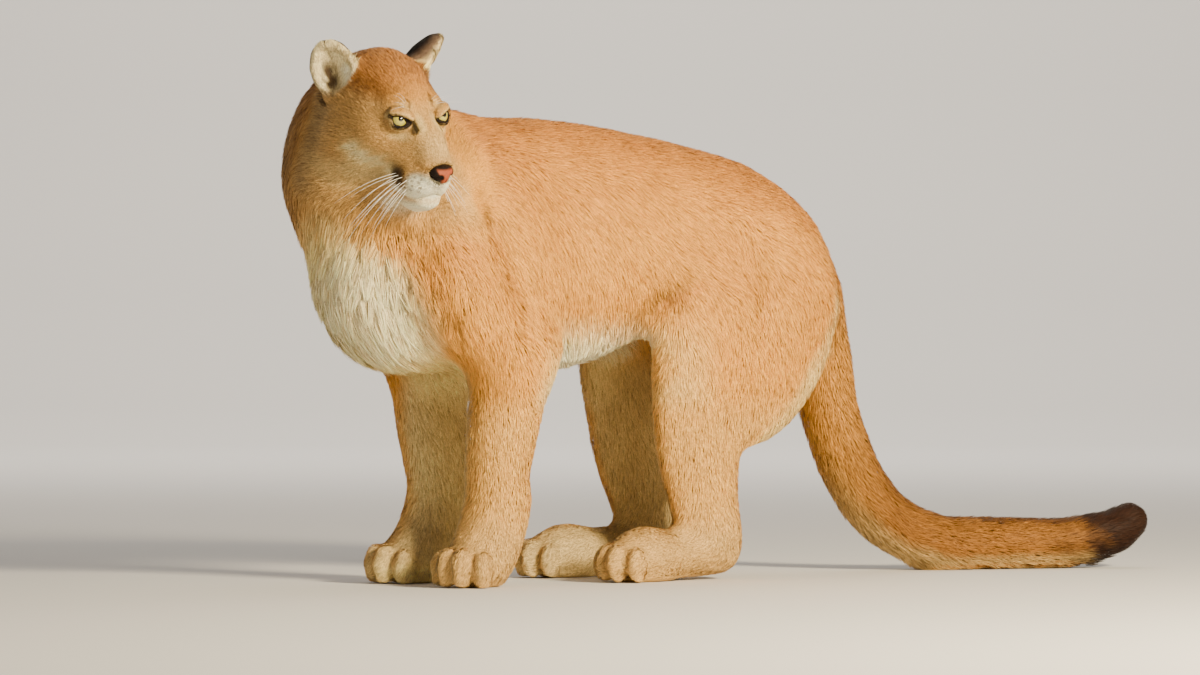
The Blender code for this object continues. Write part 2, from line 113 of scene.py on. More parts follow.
def norm(vectors):
    """Their lengths, along the last axis."""
    return np.linalg.norm(vectors, axis=-1)


def unit(vectors):
    return vectors / np.maximum(norm(vectors)[..., None], 1e-9)


def from_segment(places, a, b):
    """How far along from a to b the nearest point to each place is, from 0 to 1, and how far off."""
    share = np.clip(((places - a) @ (b - a)) / ((b - a) @ (b - a)), 0, 1)
    return share, norm(places - a - share[..., None] * (b - a))


# ---- signed distance fields

COARSE, HEAD_VOXEL, PAW_VOXEL = 0.005, 0.0014, 0.002
# The thin cuts between the solids close when their outline is read this far out
CLOSE = 0.0008
# A field holds distances up to the first of these, and reads the solids whose boxes are within the second
BAND, NEARBY = 0.03, 0.04


def read(rows, name, width, kind=np.float32):
    """A property of every row of a mesh's vertices, loops or triangles."""
    found = np.zeros((len(rows), width), kind)
    rows.foreach_get(name, found.ravel())
    return found


def write(rows, name, values, kind=np.float32):
    """Sets a property of every row."""
    rows.foreach_set(name, np.asarray(values, kind).ravel())


def solids():
    """Points and triangles of each solid."""
    found = []
    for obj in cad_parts.values():
        mesh = obj.data
        mesh.calc_loop_triangles()
        found.append((read(mesh.vertices, "co", 3), read(mesh.loop_triangles, "vertices", 3, np.int32)))
    return found


def blurred(values, width):
    """The grid after a Gaussian of that width in steps."""
    reach = int(math.ceil(2.5 * width))
    taps = np.exp(-((np.arange(-reach, reach + 1) / width) ** 2) / 2)
    taps = (taps / taps.sum()).astype(np.float32)
    for axis in range(3):
        wide = np.pad(values, [(reach, reach) if i == axis else (0, 0) for i in range(3)], "edge")
        count = values.shape[axis]
        values = sum(t * wide[(slice(None),) * axis + (slice(i, i + count),)] for i, t in enumerate(taps))
    return values


class Field:
    """A signed distance on a regular grid, below zero inside."""

    def __init__(self, low, high, voxel):
        self.voxel = voxel
        self.first = np.floor(np.array(low) / voxel).astype(int)
        self.shape = tuple(np.ceil(np.array(high) / voxel).astype(int) - self.first + 1)
        self.low = self.first * voxel
        self.high = self.low + voxel * (np.array(self.shape) - 1)
        self.values = np.full(self.shape, BAND, np.float32)

    def fill(self, found, width, deep=None):
        """Reads the closed outline of the solids, with its flat faces rounded by width. Deep inside, another field's
        distance holds."""
        grid = openvdb.FloatGrid
        steps = openvdb.createLinearTransform(voxelSize=self.voxel)
        points, triangles, count = [], [], 0
        for places, corners in found:
            if np.all(places.min(0) < self.high + NEARBY) and np.all(places.max(0) > self.low - NEARBY):
                points.append(places)
                triangles.append(corners + count)
                count += len(places)
        points, triangles = np.vstack(points), np.vstack(triangles).astype(np.uint32)
        level = grid.createLevelSetFromPolygons(points, triangles=triangles, transform=steps, halfWidth=3)
        points, triangles, quads = level.convertToPolygons(isovalue=CLOSE)
        reach = max(min(BAND / self.voxel, 10), 5)
        level = grid.createLevelSetFromPolygons(
            points, triangles=triangles, quads=quads, transform=steps, halfWidth=reach
        )
        level.copyToArray(self.values, ijk=tuple(int(v) for v in self.first))
        self.values = blurred(self.values + CLOSE, width / self.voxel)
        if deep:
            far = self.values < -0.7 * reach * self.voxel
            self.values[far] = deep.at(self.low + self.voxel * np.argwhere(far))

    def grid(self, low=None, high=None):
        """The part of the grid in a box, and its points in the frame."""
        low, high = (self.low, self.high) if low is None else (low, high)
        a = np.clip(np.floor((low - self.low) / self.voxel).astype(int), 0, self.shape)
        b = np.clip(np.ceil((high - self.low) / self.voxel).astype(int) + 1, 0, self.shape)
        part = tuple(slice(i, j) for i, j in zip(a, b))
        axes = [self.low[i] + self.voxel * np.arange(a[i], b[i]) for i in range(3)]
        return part, np.stack(np.meshgrid(*axes, indexing="ij"), axis=-1)

    def put(self, shape, blend, carve=False, room=0.012):
        """Joins a shape, its box's corners and a function of points, to the field, or takes it away."""
        low, high, gap = shape
        part, places = self.grid(low - room, high + room)
        if 0 not in places.shape:
            sign = -1 if carve else 1
            self.values[part] = sign * smooth_min(sign * self.values[part], gap(places), blend)

    def at(self, points):
        """The distance at points, between the grid's own."""
        place = np.clip((points - self.low) / self.voxel, 0, np.array(self.shape) - 1.001)
        base = place.astype(np.int32)
        part = (place - base).astype(np.float32)
        found = np.zeros(len(points), np.float32)
        for corner in np.ndindex(2, 2, 2):
            weight = np.prod(np.where(corner, part, 1 - part), axis=1)
            i, j, k = (base + corner).T
            found += weight * self.values[i, j, k]
        return found

    def inside(self, points, margin):
        """One well inside the field's box, and zero outside it."""
        room = np.minimum(points - self.low, self.high - points).min(axis=1)
        return step(0.2 * margin, margin, room)


def ball(centre, radii, turn=None):
    """Box and distance of an ellipsoid. The columns of turn are its axes."""
    axes = np.identity(3) if turn is None else np.array(turn)
    radii, centre = np.array(radii, float), np.array(centre, float)
    reach = np.abs(axes) @ radii

    def shape(places):
        local = (places - centre) @ axes
        near = np.sqrt(((local / radii) ** 2).sum(-1))
        far = np.sqrt(((local / radii**2) ** 2).sum(-1))
        return near * (near - 1) / np.maximum(far, 1e-6)

    return centre - reach, centre + reach, shape


def head_ball(centre, radii, tilt=(0, 0, 0)):
    """An ellipsoid given in the head's axes, turned by degrees round each of them."""
    turn = HEAD_TURN.copy()
    for angle, axis in zip(tilt, "XYZ"):
        turn = turn @ turned(angle, axis)
    return ball(in_head(*centre), np.array(radii) * HEAD_SCALE, turn)


def rope(points, radii):
    """Box and distance of a round tube through points."""
    points = np.array(points, float)
    radii = np.broadcast_to(np.array(radii, float), len(points))

    def shape(places):
        nearest = np.float32(1)
        for a, b, r, s in zip(points, points[1:], radii, radii[1:]):
            share, gap = from_segment(places, a, b)
            nearest = np.minimum(nearest, gap - r - share * (s - r))
        return nearest

    return points.min(0) - radii.max(), points.max(0) + radii.max(), shape


def head_rope(points, radii):
    """A tube given in the head's axes."""
    return rope([in_head(*p) for p in points], np.array(radii) * HEAD_SCALE)


# ---- depth of the coat

# The cups of the ears: their half sizes, and the middles of their roots in the head's axes
EAR_SIZE = {LEFT: np.array((0.024, 0.03, 0.053)), RIGHT: np.array((0.024, 0.034, 0.053))}
EAR_BASE = {LEFT: (-0.097, 0.067, 0.027), RIGHT: (-0.099, -0.062, 0.026)}
# The nose leather, as an ellipsoid in the head's axes
NOSE = np.array((0.077, 0, -0.051))
NOSE_SIZE = np.array((0.0125, 0.0158, 0.012))
EAR_TURN = {}
for ear_side, tilt, swivel in ((LEFT, 40, 58), (RIGHT, 29, 35)):
    ahead = HEAD_TURN @ Vector((1, 0, 0))
    EAR_TURN[ear_side] = np.array(turned(-ear_side * tilt, ahead) @ HEAD_TURN @ turned(ear_side * swivel, "Z"))


def to_ear(points, side):
    """Points in the ear's own axes, x out of its opening and z up to its tip, from its middle."""
    return (points - in_head(*EAR_BASE[side])) @ EAR_TURN[side] - (0, 0, 0.012)


def coat_depth(points):
    """How far the skin lies inside the coat's outline."""
    x, y, z = points[..., 0], points[..., 1], points[..., 2]
    head = to_head(points)
    depth = 0.0125 + 0.004 * step(0.62, 0.45, z) * step(-0.5, -0.62, y)
    depth = depth + 0.004 * step(0.42, 0.34, z) * step(-0.45, -0.3, y) * step(0.16, 0.0, y)
    leg = step(0.4, 0.26, z) * (1 - step(0.16, 0.2, y)) * (1 - step(0.02, 0.0, np.abs(x + 0.02) - 0.03))
    depth = toward(depth, 0.0075, leg)
    depth = toward(depth, 0.0035, step(0.12, 0.06, z) * (1 - step(0.16, 0.2, y)))
    depth = toward(depth, 0.011, step(0.2, 0.26, y))
    face = step(-0.125, -0.085, head[..., 0]) * step(-0.16, -0.12, head[..., 2])
    face = face * step(0.125, 0.095, np.abs(head[..., 1]))
    depth = toward(depth, toward(0.009, 0.0024, step(-0.085, 0.015, head[..., 0])), face)
    for side in BOTH:
        size = norm(to_ear(points, side) / EAR_SIZE[side])
        depth = toward(depth, 0.0016, step(1.3, 1.02, size))
    depth = depth + 0.003 * step(1.5, 1.0, norm((head - NOSE) / NOSE_SIZE))
    return depth * (0.12 + 0.88 * step(0.002, 0.016, z))


# ---- the skin's own shape


def eye_axes(side):
    """The eye's own axes: x out of the head, y to the animal's left and z up, with the inner corner low."""
    return np.array(HEAD_TURN @ (turned(side * 22, "Z") @ turned(side * 12, "X")))


def to_eye(points, side):
    """Points in the eye's own axes, from its middle."""
    return (points - EYES[side]) @ eye_axes(side)


# The edges of the lids, out from the outer corner to the inner one: how far along and how far up, in millimetres
UPPER_LID = ((-12.5, 5.4), (-9.5, 7.6), (-4.0, 8.9), (2.0, 9.1), (8.0, 8.1), (13.0, 6.1), (16.2, 4.3))
LOWER_LID = ((-12.5, 5.0), (-11.0, -0.6), (-6.0, -4.0), (1.0, -4.9), (8.0, -2.0), (13.0, 1.8), (16.2, 4.0))
LID_CURVES = [np.polyfit(*np.array(line).T, 4) for line in (UPPER_LID, LOWER_LID)]


def lid_gap(local, side):
    """Below zero in the opening between the lids, in the eye's own axes."""
    along = -side * local[..., 1] * 1000
    height = local[..., 2] * 1000
    inside = np.clip(along, -12.5, 16.2)
    upper, lower = (np.polyval(curve, inside) for curve in LID_CURVES)
    return np.maximum(np.maximum(height - upper, lower - height), np.abs(along - inside)) / 1000


def lid_line(side, upper):
    """Points along the edge of a lid, from the eye's middle, in its own axes."""
    along = np.linspace(-12.5, 16.2, 15)
    height = np.polyval(LID_CURVES[0 if upper else 1], along)
    bulge = np.where(along > 0, 0.86 * along, along)
    out = np.sqrt(np.maximum(16.3**2 - bulge**2 - height**2, 6.5**2))
    return np.stack((out, -side * along, height), axis=1) / 1000


def add_eye(field, side):
    """Lids round the eye, open in an almond over the ball."""
    centre, axes = EYES[side], eye_axes(side)
    low, high = centre - 0.034, centre + 0.034

    def lids(places):
        return norm(places - centre) - EYE_RADIUS - 0.0016

    def opening(places):
        here = to_eye(places, side)
        floor = 0.002 + 0.0045 * step(0.009, 0.014, -side * here[..., 1])
        return np.maximum(np.maximum(lid_gap(here, side), EYE_RADIUS - 0.0015 - norm(here)), floor - here[..., 0])

    rims = [centre + lid_line(side, upper) @ axes.T for upper in (True, False)]
    brow = [centre + axes @ np.array(p) for p in
            ((0.005, side * 0.012, 0.0115), (0.01, side * 0.001, 0.016), (0.01, side * -0.013, 0.0125))]
    field.put((low, high, lids), 0.004, room=0)
    for line, radius, blend in ((rims[0], 0.0016, 0.003), (rims[1], 0.0012, 0.003), (brow, 0.0026, 0.008)):
        field.put((low, high, rope(line, radius)[2]), blend, room=0)
    field.put((low, high, opening), 0.0012, True, room=0)


# The mouth line and the dark line down from the eye, on the head's left
LIPS = ((0.066, 0.002, -0.0835), (0.055, 0.014, -0.0895), (0.036, 0.0255, -0.0915), (0.012, 0.033, -0.0875),
        (-0.012, 0.04, -0.0785))
TEAR = ((0.0165, 0.0225, 0.003), (0.025, 0.0205, -0.002), (0.035, 0.019, -0.008))


def sided(line, side):
    """A line of the animal's left, or the same on its right."""
    return [(x, side * y, z) for x, y, z in line]


def add_face(field):
    """The chin, the whiskers' pads, the mouth line, the grooves by the nose and the forehead's furrow."""
    field.put(head_ball((0.042, 0, -0.0985), (0.0225, 0.0185, 0.01)), 0.018)
    for side in BOTH:
        field.put(head_ball((0.034, side * 0.016, -0.0725), (0.027, 0.018, 0.0175), (0, 10, 0)), 0.008)
        field.put(head_ball((0.0545, side * 0.0105, -0.071), (0.014, 0.0108, 0.013)), 0.006)
        field.put(head_rope(sided(LIPS, side), [0.0014, 0.0018, 0.002, 0.0018, 0.0008]), 0.004, True)
        groove = ((0.072, 0.015, -0.05), (0.054, 0.0195, -0.048), (0.03, 0.0255, -0.0455))
        field.put(head_rope(sided(groove, side), [0.001, 0.0014, 0.0008]), 0.007, True)
        field.put(head_rope(sided(TEAR, side), [0.0012, 0.0016, 0.0006]), 0.007, True)
    below_nose = [(0.08, 0, -0.062), (0.0745, 0, -0.07), (0.067, 0, -0.082)]
    field.put(head_rope(below_nose, [0.0012, 0.0013, 0.001]), 0.004, True)
    forehead = [(0.0, 0, 0.022), (-0.04, 0, 0.047), (-0.075, 0, 0.06)]
    field.put(head_rope(forehead, [0.0002, 0.0006, 0.0002]), 0.008, True)


def mirrored(line):
    """A line of the body's left side, there and on the right."""
    return [[(side * x, y, z) for x, y, z in line] for side in BOTH]


# Each hollow's line on the left, in millimetres of the body's measures, with its radius and how softly it blends
FOLDS = (
    # behind the shoulder
    (((122, -88, 545), (131, -55, 474), (135, -26, 409), (138, -30, 365)), 0.0012, 0.03),
    # in front of the shoulder and down the outside of the chest
    (((78, -192, 505), (109, -163, 473), (127, -150, 417), (124, -128, 370)), 0.0015, 0.022),
    # the fold of the flank
    (((100, 215, 385), (104, 245, 412), (116, 290, 440)), 0.002, 0.026),
    # behind the elbow
    (((128, -10, 350), (112, 20, 320), (90, 30, 300)), 0.0015, 0.02),
    # in front of the thigh
    (((122, 275, 540), (124, 240, 480), (112, 205, 420)), 0.001, 0.03),
    # between the thigh's two muscles
    (((128, 430, 460), (128, 400, 380), (118, 385, 300)), 0.001, 0.022),
    # in front of the tendon of the heel
    (((125, 400, 215), (120, 395, 165), (118, 375, 120)), 0.0012, 0.016),
)


def add_folds(field):
    """Shallow hollows between the muscles."""
    for points, radius, blend in FOLDS:
        for line in mirrored(points):
            field.put(rope(np.array(line) / 1000 - ORIGIN, radius), blend, True, room=0.03)


def built_fields():
    """The whole animal's field, and finer ones for the head and the paws."""
    found = solids()
    low, high = np.array(CAD_BOX[0]), np.array(CAD_BOX[1])
    whole = Field(low - 0.02, high + 0.02, COARSE)
    whole.fill(found, 0.005)
    skull = in_head(-0.02, 0, -0.03)
    head = Field(skull - (0.135, 0.125, 0.125), skull + (0.085, 0.125, 0.165), HEAD_VOXEL)
    head.fill(found, 0.0026, whole)
    fields = [whole, head]
    for name in ("forepaw_left", "forepaw_right", "hind_foot_left", "hind_foot_right"):
        a, b = (np.array(v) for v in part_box(name))
        paw = Field(a - 0.016, b + (0.016, 0.016, 0.03), PAW_VOXEL)
        paw.fill(found, 0.0032, whole)
        fields.append(paw)
    for field in fields:
        field.values = field.values + coat_depth(field.grid()[1]).astype(np.float32)
        add_folds(field)
    for field in fields[:2]:
        add_face(field)
        for side in BOTH:
            add_eye(field, side)
    return fields


def distance(points):
    """The skin's signed distance, from the finest field that holds each point."""
    found = FIELDS[0].at(points)
    for field in FIELDS[1:]:
        weight = field.inside(points, 0.012)
        rows = np.nonzero(weight > 0)[0]
        found[rows] += weight[rows] * (field.at(points[rows]) - found[rows])
    return found


def slope(points, reach):
    """The direction out of the skin."""
    found = np.zeros((len(points), 3))
    for axis in range(3):
        shift = np.zeros(3)
        shift[axis] = reach
        found[:, axis] = distance(points + shift) - distance(points - shift)
    return unit(found)


def refined(points, triangles, longest):
    """Splits each edge that is longer than its own limit, with no gap left beside it."""
    edges = np.sort(triangles[:, [0, 1, 1, 2, 2, 0]].reshape(-1, 2), axis=1)
    edges, place = np.unique(edges, axis=0, return_inverse=True)
    a, b = points[edges[:, 0]], points[edges[:, 1]]
    split = norm(a - b) > longest((a + b) / 2)
    new = np.full(len(edges), -1)
    new[split] = len(points) + np.arange(split.sum())
    points = np.vstack([points, ((a + b) / 2)[split]])
    # Columns 0 to 2 are the corners, 3 to 5 the new middles of the edges 0-1, 1-2 and 2-0, or -1
    both = np.hstack([triangles, new[place.reshape(-1, 3)]])
    count = (both[:, 3:] >= 0).sum(axis=1)
    found = [triangles[count == 0]]
    found += [both[count == 3][:, part] for part in ([0, 3, 5], [1, 4, 3], [2, 5, 4], [3, 4, 5])]
    for turn in range(3):
        order = [(turn + i) % 3 for i in range(3)]
        rows = both[:, order + [3 + i for i in order]]
        one = rows[(count == 1) & (rows[:, 3] >= 0)]
        two = rows[(count == 2) & (rows[:, 5] < 0)]
        found += [one[:, [0, 3, 2]], one[:, [3, 1, 2]], two[:, [1, 4, 3]], two[:, [0, 3, 4]], two[:, [0, 4, 2]]]
    return points, np.vstack(found)


def edge_limit(places):
    """How long an edge of the skin may be: short round the eyes, nose, mouth and toes."""
    head = to_head(places)
    x, y, z = head.T
    limit = np.full(len(places), 0.01)
    skull = (x > -0.13) & (np.abs(y) < 0.12) & (z > -0.125)
    limit[skull] = 0.005
    limit[skull & (x > -0.012)] = 0.0026
    for side in BOTH:
        limit[norm(places - EYES[side]) < 0.022] = 0.0016
    limit[norm(head - (0.06, 0, -0.068)) < 0.03] = 0.0019
    limit[(places[:, 2] < 0.085) & (places[:, 1] < 0.06)] = 0.0046
    return limit


def outline(field):
    """Points and triangles of a field's zero surface."""
    grid = openvdb.FloatGrid(BAND)
    grid.copyFromArray(field.values)
    points, triangles, quads = grid.convertToPolygons(0.0, 0.0)
    quads = quads.astype(int)
    triangles = np.vstack([triangles.astype(int).reshape(-1, 3), quads[:, [0, 1, 2]], quads[:, [0, 2, 3]]])
    return points.astype(float) * field.voxel + field.low, triangles


def skin_mesh():
    """Points and triangles of the one closed skin, drawn onto the fields' zero and split finer in turns."""
    points, triangles = outline(FIELDS[0])
    turns = 4
    for turn in range(turns):
        for _ in range(3):
            gap = distance(points)
            points = points - np.clip(gap, -0.002, 0.002)[:, None] * slope(points, 0.001)
        if turn < turns - 1:
            points, triangles = refined(points, triangles, edge_limit)
    points[:, 2] = np.maximum(points[:, 2], 0.0)
    return points, triangles


def new_object(name, points, faces):
    """A smooth object from arrays, with faces all of one size."""
    mesh = bpy.data.meshes.new(name)
    faces = np.asarray(faces)
    count, corners = faces.shape
    mesh.vertices.add(len(points))
    write(mesh.vertices, "co", points)
    mesh.loops.add(count * corners)
    write(mesh.loops, "vertex_index", faces, np.int32)
    mesh.polygons.add(count)
    write(mesh.polygons, "loop_start", np.arange(count) * corners, np.int32)
    write(mesh.polygons, "loop_total", np.full(count, corners), np.int32)
    write(mesh.polygons, "use_smooth", np.full(count, True), bool)
    mesh.update()
    mesh.validate()
    obj = bpy.data.objects.new(name, mesh)
    bpy.context.scene.collection.objects.link(obj)
    return obj


# ---- the lie and length of the coat

# Lines that the hair follows, each from its start to its end, in centimetres of the body's measures
MIDDLE_STREAMS = (
    ((-2, -19, 70), (-3, -14, 64), (0, -2, 63), (0, 15, 66), (0, 35, 64), (0, 50, 56), (0, 60, 44), (0, 66, 30),
     (0.3, 71, 17), (1.2, 77, 9), (3.2, 85, 6), (10, 102, 5), (15, 114, 8)),
    ((0, 54, 36), (0, 59, 26), (0.3, 63, 14), (1.2, 70, 5), (3.2, 80, 1), (10, 102, 1)),
    ((-7, -21, 68), (-10, -19, 60), (-11, -15, 52), (-12, -10, 42)),
    ((5, -20, 58), (3, -25, 50), (0, -24, 42), (0, -19, 34), (0, -10, 29)),
    ((0, -10, 29), (0, 6, 28), (0, 20, 31), (0, 32, 36)),
    ((10, -16, 60), (11, -10, 54), (12, -6, 47)),
)
SIDE_STREAMS = (
    ((6, -6, 62), (9, 10, 61), (10, 28, 60), (10, 45, 52), (7, 56, 44)),
    ((12, 22, 50), (12, 30, 46), (12, 36, 42)),
    ((11, -9, 52), (13, -8, 43), (12, -3, 32), (9, -2, 20), (8, -3, 8), (8, -14, 3)),
    ((4, -10, 34), (5, -6, 22), (5, -4, 10)),
    ((11, 38, 50), (13, 38, 40), (12, 35, 28), (11, 34, 15), (11, 36, 5), (10, 24, 3), (10, 16, 2)),
    ((5, 30, 40), (6, 32, 25), (6, 34, 10), (7, 24, 5)),
    ((6, 56, 42), (9, 52, 34), (10, 44, 24), (10, 43, 10)),
)


def streams():
    """Every line that the hair follows, with the flanks' down and back to the belly."""
    lines = [np.array(line) / 100 for line in SIDE_STREAMS]
    for start in (0.0, 0.07, 0.14, 0.21):
        rise = 0.5 * max(start - 0.1, 0)
        lines.append(((0.11, start - 0.02, 0.57), (0.13, start + 0.03, 0.49),
                      (0.125, start + 0.06, 0.4 + 0.3 * rise), (0.08, start + 0.07, 0.32 + rise),
                      (0.03, start + 0.09, 0.28 + rise)))
    left, right = zip(*(mirrored(line) for line in lines))
    return [*(np.array(line) / 100 for line in MIDDLE_STREAMS), *left, *right]


def on_head(head):
    """One on the head and its ears, and zero on the body."""
    return step(-0.15, -0.105, head[:, 0]) * step(0.15, 0.115, np.abs(head[:, 1])) * step(-0.15, -0.122, head[:, 2])


def ear_share(points, side):
    """How far each point is on an ear, and its place there in the ear's own axes."""
    local = to_ear(points, side)
    size = norm(local / EAR_SIZE[side])
    return step(1.3, 1.12, size) * step(-0.036, -0.024, local[:, 2]), local


def lie(points, normals):
    """Which way the hair lies at each point: along the streams, and back from the nose on the head."""
    body = points + ORIGIN
    flow = np.zeros_like(points)
    for line in streams():
        line = np.array(line, float)
        for a, b in zip(line, line[1:]):
            flow += unit(b - a) / (from_segment(body, a, b)[1][:, None] + 0.02) ** 3
    flow = unit(flow)
    head = to_head(points)
    back = unit(head - NOSE) + (-0.35, 0, 0)
    back[:, 2] -= 0.35 * step(0.0, -0.05, head[:, 2]) * step(0.05, 0.0, head[:, 0])
    flow += on_head(head)[:, None] * (unit(back @ TURN.T) - flow)
    for side in BOTH:
        share, local = ear_share(points, side)
        up = EAR_TURN[side] @ (0, 0, 1)
        flow += share[:, None] * (up + np.sign(local[:, 1:2]) * 0.25 * EAR_TURN[side][:, 1] - flow)
        local = to_eye(points, side)
        away = local * (0, 0.7, 1.3)
        near = step(0.03, 0.019, norm(local)) * (local[:, 0] > 0)
        flow += near[:, None] * 1.6 * (unit(away) @ eye_axes(side).T)
    flow -= (flow * normals).sum(1, keepdims=True) * normals
    return unit(flow)


def coat_length(points, normals):
    """How long the hair is at each point."""
    body, head = points + ORIGIN, to_head(points)
    y, z = body[:, 1], body[:, 2]
    tail = step(0.55, 0.6, y)
    length = np.full(len(points), 0.019)
    length += 0.019 * step(1.4, 0.8, norm((body - (0.02, -0.22, 0.42)) / (0.12, 0.1, 0.13)))
    length += 0.014 * step(0.3, -0.5, normals[:, 2]) * step(0.45, 0.36, z) * step(0.24, 0.28, z) * step(0.36, 0.3, y)
    length = toward(length, 0.015, step(0.36, 0.26, z) * (1 - tail))
    length = toward(length, 0.0085, step(0.11, 0.06, z) * (1 - tail))
    length = toward(length, toward(0.0135, 0.0048, step(-0.1, 0.02, head[:, 0])), on_head(head))
    for side in BOTH:
        share, local = ear_share(points, side)
        inside = share * step(0.0, 0.5, normals @ EAR_TURN[side][:, 0]) * step(0.03, 0.005, local[:, 2])
        length = toward(length, 0.0075 + 0.0085 * inside * step(-0.006, 0.01, -side * local[:, 1]), share)
        gap = norm(points - EYES[side])
        length *= 0.4 + 0.6 * step(0.017, 0.03, gap)
    return length


# ---- the markings of the coat, with its painted shade


def blob(places, centre, radii, soft=0.35):
    """One inside an ellipsoid, and zero outside it."""
    size = norm((places - np.array(centre)) / radii)
    return step(1 + soft, 1 - soft, size)


def line_gap(places, points):
    """How far each place is from a line through points."""
    nearest, points = np.full(len(places), 1.0), np.array(points, float)
    for a, b in zip(points, points[1:]):
        nearest = np.minimum(nearest, from_segment(places, a, b)[1])
    return nearest


def wobble(points, size, seed):
    """A smooth random number from -1 to 1 that changes over about this size."""
    draw = np.random.default_rng(seed)
    found = np.zeros(len(points))
    for _ in range(6):
        wave = draw.normal(size=3) / size * 2.2
        found += np.sin(points @ wave + draw.uniform(0, 6.3))
    return found / 3.2


def colour(red, green, blue):
    """A colour given in screen values, as light."""
    return np.array([(c / 255) ** 2.2 for c in (red, green, blue)])


TAWNY, RUST = colour(226, 160, 70), colour(188, 118, 56)
PALE, WHITE = colour(250, 220, 146), colour(255, 246, 212)
GREY, BROWN = colour(154, 130, 98), colour(92, 54, 28)
DUN, CREAM = (PALE + GREY) / 2, (PALE + WHITE) / 2
PINK = colour(156, 78, 52)
BLACK, TAIL_TIP = colour(28, 20, 16), colour(52, 34, 24)

# On the left, in the body's measures: the pale back of the thigh, the groin with darker hair and painted shade in its
# hollow, and lines of painted shade in the creases behind and in front of the shoulder, each with its strength
HAM = ((0.06, 0.575, 0.4), (0.1, 0.515, 0.3), (0.1, 0.44, 0.22))
GROIN = ((0.11, 0.264, 0.429), (0.104, 0.229, 0.4), (0.092, 0.2, 0.372))
SHADE_CREASES = (
    (0.12, ((0.125, -0.085, 0.545), (0.131, -0.055, 0.474), (0.135, -0.028, 0.409))),
    (0.42, ((0.122, -0.158, 0.43), (0.127, -0.15, 0.405), (0.125, -0.129, 0.37))),
)
# On the head's left: middle, radii, softness, strength, colour and darker hairs of each pale place
PALE_PLACES = (
    # the corner of the jaw
    ((-0.058, 0.05, -0.092), (0.045, 0.04, 0.02), 0.5, 0.35, PALE, 0.4),
    # over the eye, below it and between it and the nose
    ((0.008, 0.024, 0.019), (0.013, 0.01, 0.005), 0.6, 0.3, PALE, 0.15),
    ((0.022, 0.034, -0.016), (0.016, 0.013, 0.007), 0.6, 0.5, PALE, 0.1),
    ((0.032, 0.013, 0.0), (0.014, 0.007, 0.016), 0.6, 0.6, PALE, 0.2),
    # the whiskers' pad and the lower lip
    ((0.06, 0.013, -0.073), (0.023, 0.024, 0.019), 0.25, 1.0, WHITE, 0.0),
    ((0.036, 0.026, -0.086), (0.022, 0.016, 0.007), 0.5, 0.9, WHITE, 0.0),
)
WHISKER_SPOTS = [(0.064 - 0.0075 * i - 0.002 * (row % 2), 0.02 + 0.003 * i, -0.061 - 0.0055 * row)
                 for row in range(4) for i in range(4)]


def paint_body(paint, body, normals, rest):
    """The back, neck, legs, belly, chest and tail."""
    x, y, z = body.T
    rise = normals[:, 2]
    even = np.stack((np.abs(x), y, z), axis=1)
    paint(rest * step(0.34, 0.42, z) * step(-0.15, 0.95, rise) * 0.75, RUST, 0.35)
    neck = rest * step(-0.02, -0.12, y) * step(0.47, 0.54, z)
    # Greyer hair round the neck, partly painted shade
    paint(neck * 0.3, GREY, 0.7)
    # Painted shade: the right side of the neck darkened further to grey
    painted_neck_shade = step(-0.1, -0.24, y) * step(0.46, 0.62, z) * step(0.04, -0.08, x)
    paint(rest * painted_neck_shade * 0.55, GREY * 0.75, 0.9)
    paint(neck * step(0.1, 0.9, rise) * 0.4, RUST, 0.6)
    legs = rest * step(0.4, 0.3, z) * step(0.57, 0.53, y)
    # The legs' inner sides: paler hair, greyed as painted shade
    paint(legs * step(-0.1, 0.6, -normals[:, 0] * np.sign(x - 0.01)) * 0.85, DUN, 0.3)
    paint(legs * step(0.3, 0.22, z) * 0.22, PALE, 0.1)
    paint(legs * step(0.14, 0.05, z) * 0.45, DUN, 0.35)
    under = step(0.41, 0.33, z) * step(0.34, 0.26, y) * step(-0.02, 0.05, y) * step(0.24, 0.29, z)
    paint(under * step(0.5, -0.5, rise), PALE, 0.05)
    paint(under * step(0.0, -0.7, rise) * 0.8, WHITE, 0.05)
    between = step(0.42, 0.36, z) * step(0.085, 0.055, np.abs(x)) * step(0.05, -0.02, y)
    paint(rest * between * step(0.5, -0.3, rise) * 0.9, PALE, 0.1)
    throat = 0.8 * y + 0.6 * np.abs(x) + 1.06 * z + 0.02 * wobble(body, 0.05, 31)
    front = rest * step(0.35, -0.3, normals[:, 1]) * step(0.415, 0.355, throat)
    paint(front * blob(body, (0.015, -0.235, 0.415), (0.11, 0.11, 0.125), 0.35) * 0.95, PALE, 0.3)
    paint(front * blob(body, (0.03, -0.23, 0.4), (0.08, 0.095, 0.085), 0.5) * 0.55, WHITE, 0.25)
    paint(step(0.045, 0.015, line_gap(even, HAM)) * 0.7, PALE, 0.05)
    # The groin: darker hair, with painted shade in its hollow
    groin = line_gap(even, GROIN) + 0.006 * wobble(body, 0.015, 45)
    paint(rest * step(0.034, 0.01, groin) * 0.32, BROWN * 1.8, 1.0)
    paint(rest * step(0.014, 0.003, groin) * 0.42, BROWN * 1.4, 1.0)
    # Painted shade along the creases behind and in front of the shoulder
    for strength, line in SHADE_CREASES:
        gap = line_gap(even, line) + 0.004 * wobble(body, 0.012, 33)
        paint(rest * step(0.018, 0.003, gap) * strength, BROWN * 1.4, 0.8)
    tail = step(0.55, 0.6, y)
    ridge = step(0.8, 0.97, rise + 0.12 * wobble(body, 0.03, 35)) * step(0.6, 0.66, y)
    paint(step(0.53, 0.74, y) * 0.76, BROWN * 1.45, 0.7)
    paint(tail * ridge * 0.5, BROWN * 0.6, 0.7)
    paint(tail * step(-0.2, -0.8, rise) * 0.45, PALE, 0.2)
    paint(step(0.96, 1.07, y + 0.02 * wobble(body, 0.02, 47)), TAIL_TIP, 0.5)


